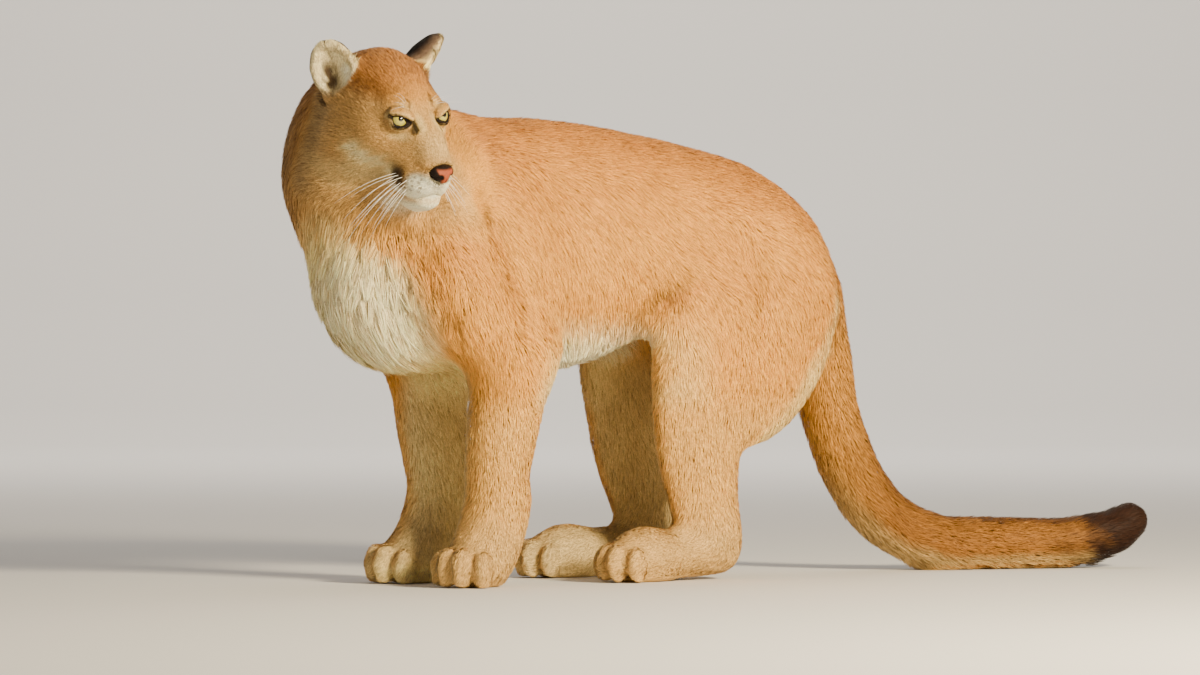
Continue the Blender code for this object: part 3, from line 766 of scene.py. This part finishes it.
def paint_skull(paint, head, skull):
    """The red crown, painted shade on the right side of the back of the head, the mask and the bridge of the nose."""
    x, y, z = head.T
    paint(skull * step(-0.01, 0.04, z) * step(0.02, -0.04, x) * 0.8, RUST, 0.7)
    # Painted shade on the right side of the back of the head
    paint(skull * (step(-0.05, -0.12, x) * step(0.04, -0.02, z) * step(0.0, -0.05, y)) * 0.55, GREY * 0.7, 0.9)
    face = skull * step(0.105, 0.08, np.abs(y))
    paint(face * step(0.03, 0.01, z) * 0.36, DUN, 0.6)
    paint(face * 0.15, GREY, 0.7)
    paint(skull * blob(head, (0.052, 0, -0.026), (0.034, 0.022, 0.02), 0.5) * 0.5, DUN, 0.6)


def paint_face(paint, points, head, skull, side):
    """One side of the face: temple, cheek, muzzle and the surround of the eye."""
    here = head * (1, side, 1)
    temple = line_gap(here, [(-0.085, 0.05, 0.025), (-0.045, 0.046, 0.028), (-0.022, 0.038, 0.027)])
    paint(skull * step(0.022, 0.004, temple + 0.004 * wobble(head, 0.012, 49)) * 0.42, BROWN, 1.0)
    cheek = line_gap(here, [(-0.032, 0.06, -0.049), (-0.012, 0.053, -0.06), (0.016, 0.043, -0.066)])
    cheek = cheek + 0.004 * wobble(head, 0.01, 37)
    paint(skull * blob(here, (-0.014, 0.052, -0.078), (0.042, 0.03, 0.018), 0.6) * 0.75, DUN, 0.3)
    paint(skull * step(0.03, 0.004, cheek) * 0.7, PALE, 0.35)
    paint(skull * step(0.019, -0.002, cheek) * 0.8, PALE * 0.6 + WHITE * 0.4, 0.15)
    for centre, radii, soft, strength, tint, ticking in PALE_PLACES:
        paint(skull * blob(here, centre, radii, soft) * strength, tint, ticking)
    ragged = here + 0.002 * wobble(head, 0.006, 39)[:, None]
    paint(skull * blob(ragged, (0.033, 0.038, -0.067), (0.014, 0.014, 0.018), 0.6) * 0.9, BLACK * 1.8, 0.3)
    spots = np.min([norm((here - spot) * (1, 0.05, 1)) for spot in WHISKER_SPOTS], axis=0)
    paint(skull * (here[:, 1] > 0.013) * step(0.0021, 0.0011, spots) * 0.58, BROWN * 0.6, 0.0)
    wing = line_gap(here, [(0.064, 0.013, -0.042), (0.05, 0.02, -0.046)])
    paint(skull * step(0.0034, 0.0014, wing) * 0.75, BROWN, 0.2)
    eye = to_eye(points, side)
    near = (norm(eye) < 0.026) & (eye[:, 0] > 0)
    rim = lid_gap(eye, side)
    paint(near * step(0.0066, 0.0036, rim) * 0.45, PALE, 0.0)
    paint(near * step(0.003, 0.0015, rim), BLACK, 0.0)
    tear = line_gap(here * (1, 0.3, 1), np.array(TEAR) * (1, 0.3, 1))
    paint(skull * step(0.006, 0.003, tear) * 0.85, BLACK * 1.8, 0.0)
    brow = line_gap(here * (0.25, 1, 1), [(0.004, 0.0185, 0.02), (0.003, 0.019, 0.036)])
    brow = step(0.0062, 0.0018, brow + 0.002 * wobble(head, 0.006, 43))
    paint(skull * brow * step(-0.01, 0.0, head[:, 0]) * 0.8, BROWN, 0.5)
    paint(skull * step(0.0034, 0.0012, line_gap(here, LIPS)), BLACK, 0.0)


def paint_ear(paint, points, normals, side):
    """A dark back with a black root, a pale cup, painted shade deep in the cup round the canal, and a pale rim."""
    share, local = ear_share(points, side)
    inside = share * step(-0.2, 0.4, normals @ EAR_TURN[side][:, 0])
    paint(share * (1 - inside / np.maximum(share, 1e-6)) * 0.9, colour(96, 84, 74), 0.6)
    paint(share * blob(local, (-0.018, 0, 0.01), (0.03, 0.022, 0.03), 0.4), BLACK * 1.5, 0.2)
    paint(inside, CREAM * 0.92, 0.9)
    # Painted shade deep in the cup, round the canal
    canal_shade = local + 0.002 * wobble(local, 0.006, 41)[:, None]
    canal_shade = blob(canal_shade, (0.004, side * 0.008, -0.01), (0.024, 0.009, 0.024), 0.5)
    paint(inside * canal_shade * 0.95, BROWN * 0.3, 0.1)
    paint(inside * blob(local, (0.008, side * -0.013, -0.016), (0.02, 0.01, 0.014), 0.5), WHITE, 0.2)
    rim = share * step(0.9, 1.05, norm(local[:, 1:] / EAR_SIZE[side][1:]))
    paint(rim * 0.7, PALE, 0.3)


def markings_and_shade(points, normals):
    """The coat's colour at each point, as light, with painted shade in places, and how strongly single hairs are
    darker there.
    """
    head = to_head(points)
    skull = on_head(head)
    found = np.tile(TAWNY, (len(points), 1))
    tick = np.full(len(points), 0.15)

    def paint(share, tint, ticking):
        nonlocal found, tick
        found, tick = toward(found, tint, share[:, None]), toward(tick, ticking, share)

    paint_body(paint, points + ORIGIN, normals, 1 - skull)
    paint_skull(paint, head, skull)
    for side in BOTH:
        paint_face(paint, points, head, skull, side)
        paint_ear(paint, points, normals, side)
    paint(skull * blob(head, (0.046, 0, -0.106), (0.03, 0.028, 0.015), 0.4), WHITE, 0.05)
    paint(skull * blob(head, (0.02, 0, -0.116), (0.042, 0.03, 0.018), 0.5) * 0.7, WHITE, 0.1)
    paint(step(1.16, 1.04, norm((head - NOSE) / NOSE_SIZE)), BLACK, 0.0)
    return found, tick


# ---- the coat

# Hair longer than LONG gathers in wider clumps than the rest
CLUMP, LONG_CLUMP, LONG = 0.0055, 0.014, 0.029
ROOT_DEPTH, FLOOR_GAP = 0.0004, 0.0006
# How bright a tuft is at its root, darkened there as painted shade deep in the coat, at both ends of its middle and
# at its tip
ROOT_SHADE_LEVELS = np.array((0.62, 0.95, 0.95, 1.18))
# Half the size of a tuft's patch in OFBake
PATCH = 0.0015


def density(points):
    """Tufts to the square metre."""
    body, head = points + ORIGIN, to_head(points)
    y, z = body[:, 1], body[:, 2]
    tail, skull = step(0.55, 0.6, y), on_head(head)
    found = np.full(len(points), 0.44e6)
    for goal, share in (
        (0.31e6, step(0.36, 0.28, z) * (1 - tail)),
        (0.56e6, step(0.12, 0.07, z) * (1 - tail)),
        (0.28e6, tail),
        (0.86e6, skull),
        (2.25e6, skull * step(-0.045, 0.0, head[:, 0])),
        *((1.3e6, ear_share(points, side)[0]) for side in BOTH),
    ):
        found = toward(found, goal, share)
    return found


def bare(points, normals):
    """Where no hair grows: the eyes, the nose, the lips' edge and the soles."""
    head = to_head(points)
    found = norm((head - NOSE) / NOSE_SIZE) < 1.06
    for side in BOTH:
        eye = to_eye(points, side)
        near = (norm(eye) < 0.024) & (eye[:, 0] > 0)
        found |= near & (lid_gap(eye, side) < 0.0012)
        found |= line_gap(head, sided(LIPS, side)) < 0.0013
    return found | ((points[:, 2] < 0.008) & (normals[:, 2] < -0.5) & (points[:, 1] < 0.1))


def roots():
    """Place, normal and unwrapped place of every tuft's root, spread over the skin by its density."""
    corners = SKIN_POINTS[SKIN_TRIANGLES]
    areas = norm(np.cross(corners[:, 1] - corners[:, 0], corners[:, 2] - corners[:, 0])) / 2
    expected = areas * density(corners.mean(axis=1))
    count = np.floor(expected + RNG.random(len(expected))).astype(int)
    face = np.repeat(np.arange(len(count)), count)
    a, b = RNG.random((2, len(face)))
    over = a + b > 1
    a[over], b[over] = 1 - a[over], 1 - b[over]
    share = np.stack((1 - a - b, a, b), axis=1)[:, :, None]
    root = (corners[face] * share).sum(1)
    normal = unit((SKIN_NORMALS[SKIN_TRIANGLES[face]] * share).sum(1))
    place = (SKIN_UV[face] * share).sum(1)
    grown = ~bare(root, normal)
    return root[grown], normal[grown], place[grown]


def tufts(root, normal):
    """Root, middle, tip, width, direction across, direction along and the lift of its clump, for every tuft."""
    n = len(root)
    along = lie(root, normal)
    across = np.cross(normal, along)
    turn = RNG.normal(0, 0.12, n) + 0.16 * wobble(root, 0.045, 5) + 0.1 * wobble(root, 0.012, 6)
    cos, sin = np.cos(turn)[:, None], np.sin(turn)[:, None]
    along, across = along * cos + across * sin, across * cos - along * sin
    length = coat_length(root, normal) * RNG.uniform(0.75, 1.25, n)
    shaggy = step(0.024, 0.032, length)
    height = coat_depth(root) * (RNG.uniform(0.78, 1.06, n) - shaggy * RNG.uniform(0, 0.25, n))
    middle = root + along * (length * 0.45)[:, None]
    tip = root + along * length[:, None]
    long = length > LONG
    grain = np.where(long, LONG_CLUMP, CLUMP)[:, None]
    cell = np.floor((root + 0.004 * np.stack([wobble(root, 0.02, s) for s in (7, 8, 9)], axis=1)) / grain).astype(int)
    key = ((cell[:, 0] * 2003 + cell[:, 1]) * 2003 + cell[:, 2]) * 2 + long
    _, clump = np.unique(key, return_inverse=True)
    size = np.bincount(clump)
    centre = np.stack([np.bincount(clump, tip[:, i]) / size for i in range(3)], axis=1)
    tip += (centre[clump] - tip) * np.where(long, 0.62, 0.25)[:, None]
    lift = RNG.uniform(-1, 1, len(size))[clump]
    height *= 1 + lift * np.where(long, 0.22, 0.06)
    for _ in range(2):
        middle += (height * 0.8 - distance(middle))[:, None] * normal
        tip += (height - distance(tip))[:, None] * normal
    roll = RNG.normal(0, 0.35, n)
    across = across * np.cos(roll)[:, None] + normal * np.sin(roll)[:, None]
    width = (0.0004 + 0.055 * np.minimum(length, 0.022)) * RNG.uniform(0.7, 1.3, n)
    root = root - normal * ROOT_DEPTH
    for part in (root, middle, tip):
        part[:, 2] = np.maximum(part[:, 2], FLOOR_GAP)
    return root, middle, tip, width, across, along, lift


def coat_regions(points):
    """The name of the coat piece that each root belongs to."""
    body, head = points + ORIGIN, to_head(points)
    x, y, z = body.T
    side = np.where(x > 0.0, "_left", "_right")
    name = np.where(y < 0.14, "flank", "hip")
    name = np.where(y < 0.02, "shoulder", name)
    name = np.where(z < 0.33, np.where(y < 0.13, "foreleg", "hind_leg"), name)
    name = np.char.add(name.astype("U12"), side)
    face = np.where(head[:, 1] > 0, "face_left", "face_right")
    name = np.where((y < -0.08) & (z > 0.46), "neck", name)
    name = np.where((y > 0.14) & (z > 0.33) & (y < 0.34), np.char.add("loin", side), name)
    name = np.where(on_head(head) > 0.5, np.where(head[:, 0] > -0.04, face, "crown"), name)
    name = np.where(y > 0.56, "tail", name)
    return np.char.add("coat_", name)


def set_inputs(node, values):
    """Default values of a shader node's inputs, by name."""
    for key, value in values.items():
        node.inputs[key].default_value = value


def hair_material(name, scale=420.0, roughness=0.6, bump=0.25, sheen=0.04):
    """Colour from the piece's own points, broken up and roughened by noise."""
    found = bpy.data.materials.new(name)
    found.use_nodes = True
    nodes, links = found.node_tree.nodes, found.node_tree.links
    shader = nodes["Principled BSDF"]
    tint, place = nodes.new("ShaderNodeAttribute"), nodes.new("ShaderNodeTexCoord")
    noise, level = nodes.new("ShaderNodeTexNoise"), nodes.new("ShaderNodeMapRange")
    product, rough = nodes.new("ShaderNodeVectorMath"), nodes.new("ShaderNodeMapRange")
    raised = nodes.new("ShaderNodeBump")
    tint.attribute_name = "coat_colour"
    product.operation = "MULTIPLY"
    set_inputs(noise, {"Scale": scale, "Detail": 3.0})
    set_inputs(level, {"From Min": 0.3, "From Max": 0.7, "To Min": 0.82, "To Max": 1.16})
    set_inputs(rough, {"To Min": roughness - 0.12, "To Max": roughness + 0.12})
    set_inputs(raised, {"Strength": bump, "Distance": 0.0006})
    set_inputs(shader, {"Specular IOR Level": 0.15, "Sheen Weight": sheen, "Sheen Roughness": 0.4})
    for start, result, end, value in (
        (place, "Object", noise, "Vector"),
        (noise, "Fac", level, "Value"),
        (noise, "Fac", rough, "Value"),
        (noise, "Fac", raised, "Height"),
        (tint, "Color", product, 0),
        (level, "Result", product, 1),
        (product, "Vector", shader, "Base Color"),
        (rough, "Result", shader, "Roughness"),
        (raised, "Normal", shader, "Normal"),
    ):
        links.new(start.outputs[result], end.inputs[value])
    return found


def put_colours(mesh, values):
    """Writes the colours of a mesh's points."""
    layer = mesh.color_attributes.new("coat_colour", "FLOAT_COLOR", "POINT")
    write(layer.data, "color", np.hstack([values, np.ones((len(values), 1))]))


def add_coat():
    """Thin folded tufts over the whole skin, in one piece to each region."""
    start, normal, place = roots()
    root, middle, tip, width, across, along, lift = tufts(start, normal)
    base, tick = markings_and_shade(root, normal)
    n = len(root)
    dark = (RNG.random(n) < tick * 0.5) * RNG.uniform(0.35, 0.75, n)
    # Each tuft's brightness: a random tone, plus painted light on raised clumps and painted shade on sunken ones
    tone_and_clump_shade = np.exp(RNG.normal(0, 0.09, n) + 0.05 * wobble(root, 0.03, 11) + 0.05 * lift)
    tint = base * tone_and_clump_shade[:, None]
    tint = tint * (1 - dark[:, None] * (1 - np.array((0.42, 0.36, 0.32))))
    region = coat_regions(root)
    lean = RNG.normal(0, 0.17, (2, n))
    facing = unit(normal + across * lean[0][:, None] + along * (lean[1] + 0.12)[:, None])
    corners = PATCH * np.array(((0, -1), (-1, 0), (1, 0), (0, 1)))
    material = hair_material("coat")
    for name in np.unique(region):
        rows = region == name
        wide = across[rows] * (width[rows] / 2)[:, None]
        points = np.stack((root[rows], middle[rows] - wide, middle[rows] + wide, tip[rows]), axis=1).reshape(-1, 3)
        first = 4 * np.arange(rows.sum())[:, None]
        faces = np.concatenate([first + (0, 1, 2), first + (1, 3, 2)], axis=1).reshape(-1, 3)
        obj = new_object(name, points, faces)
        mesh = obj.data
        put_colours(mesh, np.clip(tint[rows][:, None, :] * ROOT_SHADE_LEVELS[:, None], 0, 1).reshape(-1, 3))
        spot = place[rows][:, None, :] + corners
        write(mesh.uv_layers.new(name="OFBake").data, "uv", spot.reshape(-1, 2)[faces.ravel()])
        mesh.normals_split_custom_set_from_vertices(np.repeat(facing[rows], 4, axis=0).astype(np.float32))
        mesh.materials.append(material)
        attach(obj, "root")


# ---- nose, eyes and whiskers


def add_nose():
    """The nose leather: a broad pad with its wings, nostrils open to the sides and a groove down the middle."""
    field = Field(in_head(0.056, 0, -0.052) - 0.03, in_head(0.096, 0, -0.052) + 0.03, 0.0006)
    room = 0.008
    field.put(head_ball((0.0745, 0, -0.048), (0.012, 0.0145, 0.0088), (0, 25, 0)), 0.001, room=room)
    field.put(head_ball((0.0775, 0, -0.056), (0.0085, 0.007, 0.008)), 0.006, room=room)
    for side in BOTH:
        wing = head_ball((0.073, side * 0.011, -0.05), (0.01, 0.0066, 0.0082), (0, 20, side * -20))
        field.put(wing, 0.004, room=room)
        nostril = ((0.089, 0.0066, -0.052), (0.0845, 0.0085, -0.0545), (0.077, 0.0145, -0.056),
                   (0.069, 0.0195, -0.053))
        field.put(head_rope(sided(nostril, side), [0.002, 0.0028, 0.0026, 0.0012]), 0.0015, True, room)
    groove = [(0.0895, 0, -0.049), (0.087, 0, -0.056), (0.0825, 0, -0.064), (0.076, 0, -0.07)]
    field.put(head_rope(groove, [0.0003, 0.0008, 0.0012, 0.0012]), 0.0016, True, room)
    points, triangles = outline(field)
    obj = new_object("nose_leather", points, triangles)
    head = to_head(points)
    x, y, z = head.T
    # The pink front narrows downwards, and leaves out the nostrils and the groove
    reach = np.clip(0.0118 + (z + 0.045) * 0.5, 0.0015, 0.0118)
    pink = step(0.0735, 0.0775, x) * step(0.002, -0.001, np.abs(y) - reach) * step(-0.0415, -0.045, z)
    hollow = ((0.085, 0.008, -0.0535), (0.077, 0.015, -0.055))
    nostrils = np.min([line_gap(head, sided(hollow, side)) for side in BOTH], axis=0)
    pink = pink * step(0.0034, 0.0058, nostrils) * step(0.0004, 0.0014, line_gap(head, groove))
    tint = toward(BLACK * 1.3, PINK, (0.92 * pink)[:, None])
    put_colours(obj.data, tint * np.exp(0.1 * wobble(points, 0.003, 21))[:, None])
    obj.data.materials.append(hair_material("nose_leather", 1500.0, 0.42, 0.9, 0.0))
    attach(obj, "root")
    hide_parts("nose")


def add_eyeball(side, name):
    """A glass eye: its cornea stands out of the ball, over a pale iris with fine rays and a small round pupil."""
    rings, sectors = 72, 96
    gaze = np.array(turned(side * 12 - 4, "Z") @ Vector((0.998, 0, 0.05)))
    angle = np.linspace(0, math.pi, rings + 1)[:, None]
    turn = np.linspace(0, 2 * math.pi, sectors, endpoint=False)[None]
    wide = unit(np.cross((0, 0, 1), gaze))
    high = np.cross(gaze, wide)
    shape = np.stack((np.cos(angle) + 0 * turn, np.sin(angle) * np.cos(turn), np.sin(angle) * np.sin(turn)), axis=-1)
    radius = EYE_RADIUS * (1 + 0.055 * step(0.85, 0.0, angle))
    points = EYES[side] + (shape * radius[..., None]) @ np.array((gaze, wide, high))
    row, column = np.meshgrid(np.arange(rings), np.arange(sectors), indexing="ij")
    a, b = row * sectors + column, row * sectors + (column + 1) % sectors
    c, d = a + sectors, b + sectors
    lower, upper = np.stack((a, c, d), axis=-1)[:-1], np.stack((a, d, b), axis=-1)[1:]
    faces = np.concatenate([lower, upper]).reshape(-1, 3)
    obj = new_object(name + "_glass", points.reshape(-1, 3), faces)
    angle = np.degrees(angle) + 0 * turn
    rays = np.sin(turn * 23 + 1.5 * np.sin(turn * 7)) * 0.5 + np.sin(turn * 41 + 2) * 0.3
    share = np.clip((angle - 10) / 34, 0, 1)[..., None]
    iris = colour(196, 180, 62) * (1 - share) + colour(150, 140, 56) * share
    iris = iris * (1 + 0.16 * rays * np.sin(np.pi * share[..., 0]))[..., None]
    white = colour(150, 128, 104)
    tint = toward(iris, BLACK, step(38, 44, angle)[..., None])
    tint = toward(tint, white, step(47, 56, angle)[..., None])
    tint = toward(BLACK * 0.3, tint, step(12.5, 14.5, angle)[..., None])
    put_colours(obj.data, np.clip(tint, 0, 1).reshape(-1, 3))
    material = hair_material(name + "_glass", 900.0, 0.16, 0.0, 0.0)
    shader = material.node_tree.nodes["Principled BSDF"]
    set_inputs(shader, {"Specular IOR Level": 0.5, "Coat Weight": 1.0, "Coat Roughness": 0.02})
    obj.data.materials.append(material)
    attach(obj, "root")
    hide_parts(name)


def add_whiskers(side, name):
    """Stiff white hairs on the lip's pad and over the eye, each a thin tapered tube."""
    lines = []
    for row in range(4):
        for i in range(4):
            root = (0.047 - 0.007 * i - 0.002 * (row % 2), side * (0.029 + 0.0025 * i), -0.065 - 0.0062 * row)
            drop = 0.35 + 0.16 * row + 0.1 * RNG.normal()
            along = unit(np.array((-0.1 - 0.12 * i + 0.06 * RNG.normal(), side * 0.75, -drop)))
            lines.append((root, along, 0.05 + 0.012 * i + 0.012 * RNG.random(), 0.0004, (0.1, 0, -0.25)))
    for i in range(4):
        root = (0.004 + 0.002 * i, side * (0.022 + 0.003 * i), 0.027 - 0.0015 * i)
        along = unit(np.array((0.25, side * (0.45 + 0.1 * i), 0.75 - 0.16 * i + 0.1 * RNG.normal())))
        lines.append((root, along, 0.03 + 0.016 * RNG.random(), 0.00022, (0.1, side * 0.2, -0.2)))
    points, faces = [], []
    steps, sides = 12, 5
    share = np.linspace(0, 1, steps)[:, None]
    ring = np.linspace(0, 2 * math.pi, sides, endpoint=False)[:, None]
    for root, along, length, radius, bend in lines:
        wide = unit(np.cross(along, (0.3, 0.2, 1.0)))
        high = np.cross(along, wide)
        spine = np.array(root) + (along * share + np.array(bend) * share**2) * length - along * 0.006
        size = radius * (1 - 0.85 * share)
        tube = spine[:, None] + size[..., None] * (np.cos(ring) * wide + np.sin(ring) * high)
        first = len(points) * steps * sides
        last = first + (steps - 1) * sides
        points.append(tube.reshape(-1, 3))
        for i in range(steps - 1):
            for j in range(sides):
                a, b = first + i * sides + j, first + i * sides + (j + 1) % sides
                faces += [(a, b, b + sides), (a, b + sides, a + sides)]
        for j in range(1, sides - 1):
            faces += [(last, last + j, last + j + 1), (first, first + j + 1, first + j)]
    points = np.array([in_head(*p) for p in np.vstack(points)])
    obj = new_object("whiskers_" + name, points, faces)
    put_colours(obj.data, np.tile(colour(250, 246, 236), (len(points), 1)))
    obj.data.materials.append(hair_material("whiskers_" + name, 300.0, 0.4, 0.1, 0.0))
    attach(obj, "root")


def add_skin():
    """The one closed skin in place of the flesh, unwrapped. Gives its triangles' corners there and its normals."""
    skin = new_object("skin", SKIN_POINTS, SKIN_TRIANGLES)
    skin.data.materials.append(hair_material("under_coat", 650.0, 0.7, 0.5))
    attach(skin, "root")
    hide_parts(*FLESH)
    bpy.context.view_layer.objects.active = skin
    skin.select_set(True)
    bpy.ops.object.mode_set(mode="EDIT")
    bpy.ops.mesh.select_all(action="SELECT")
    bpy.ops.uv.smart_project(angle_limit=1.15, island_margin=0.001)
    bpy.ops.object.mode_set(mode="OBJECT")
    skin.data.uv_layers.active.name = "OFBake"
    corners = read(skin.data.uv_layers["OFBake"].data, "uv", 2).reshape(-1, 3, 2)
    normals = read(skin.data.vertices, "normal", 3)
    # The skin takes the coat's colours, darkened as painted shade since it lies under the coat
    put_colours(skin.data, np.clip(markings_and_shade(SKIN_POINTS, normals)[0] * 0.8, 0, 1))
    return corners, normals


FIELDS = built_fields()
SKIN_POINTS, SKIN_TRIANGLES = skin_mesh()
SKIN_UV, SKIN_NORMALS = add_skin()
add_coat()
add_nose()
for eye_side, eye_name in SIDES:
    add_eyeball(eye_side, "eye_" + eye_name)
    add_whiskers(eye_side, eye_name)


# ---- stage, light and camera

# Towards the camera, and to the right of the picture
BACK, ACROSS = np.array((0.8, -0.6, 0)), np.array((0.6, 0.8, 0))
# The photo's width and its pixels to the metre at the target, the camera's distance and its height
WIDTH, PIXELS, DISTANCE, HEIGHT = 1200, 700, 8.0, 0.351
TARGET = ACROSS * (WIDTH / 2 - 478) / PIXELS + (0, 0, HEIGHT) - ORIGIN * (1, 1, 0)
# The backdrop's section: how far behind the animal, and how high
BACKDROP = ((-16.0, 0.0), (10.0, 0.0), (11.4, 0.1), (12.6, 0.5), (13.6, 1.3), (14.2, 2.5), (14.5, 4.2), (14.5, 9.0))
MIDDLE = np.array((0.0, 0.0, 0.4))
# Name, place, what it is aimed at, size, power and colour
LAMPS = (
    ("key", MIDDLE + BACK * 2.8 + ACROSS * 2.0 + (0, 0, 1.2), MIDDLE, 0.7, 340, (1.0, 0.86, 0.6)),
    ("fill", MIDDLE + BACK * 3.0 - ACROSS * 3.0 + (0, 0, 1.2), MIDDLE, 2.5, 12, (0.95, 0.96, 1.0)),
    ("top", MIDDLE - BACK * 1.0 + (0, 0, 3.2), MIDDLE, 2.2, 26, (1.0, 0.92, 0.8)),
    ("far", MIDDLE - BACK * 7.0 + (0, 0, 7.0), -BACK * 13.0 + (0, 0, 1.0), 4.0, 900, (1.0, 0.95, 0.88)),
)


def placed(name, data, place, towards):
    """An object in the scene that looks along a direction."""
    obj = bpy.data.objects.new(name, data)
    obj.location = place
    obj.rotation_mode = "QUATERNION"
    obj.rotation_quaternion = towards.to_track_quat("-Z", "Y")
    bpy.context.scene.collection.objects.link(obj)
    return obj


def add_stage():
    """The pale floor and backdrop, the lamps and the photo's camera."""
    points = [-BACK * out + ACROSS * side + (0, 0, up) for out, up in BACKDROP for side in (-16.0, 16.0)]
    faces = [(2 * i + 1, 2 * i, 2 * i + 2, 2 * i + 3) for i in range(len(BACKDROP) - 1)]
    floor = new_object("floor", np.array(points), faces)
    paper = bpy.data.materials.new("floor_paper")
    paper.use_nodes = True
    set_inputs(paper.node_tree.nodes["Principled BSDF"], {"Base Color": (0.74, 0.71, 0.67, 1), "Roughness": 0.8})
    floor.data.materials.append(paper)
    world = bpy.data.worlds.new("studio")
    bpy.context.scene.world = world
    world.use_nodes = True
    set_inputs(world.node_tree.nodes["Background"], {"Color": (1.0, 0.97, 0.93, 1), "Strength": 0.25})
    for name, place, target, size, power, tint in LAMPS:
        lamp = bpy.data.lights.new(name, "AREA")
        lamp.size, lamp.energy, lamp.color = size, power, tint
        placed(name, lamp, place, Vector(target) - Vector(place))
    camera = bpy.data.cameras.new("camera")
    camera.sensor_width = 36
    camera.lens = 36 * DISTANCE * PIXELS / WIDTH
    bpy.context.scene.camera = placed("camera", camera, TARGET + BACK * DISTANCE, Vector(-BACK))


add_stage()
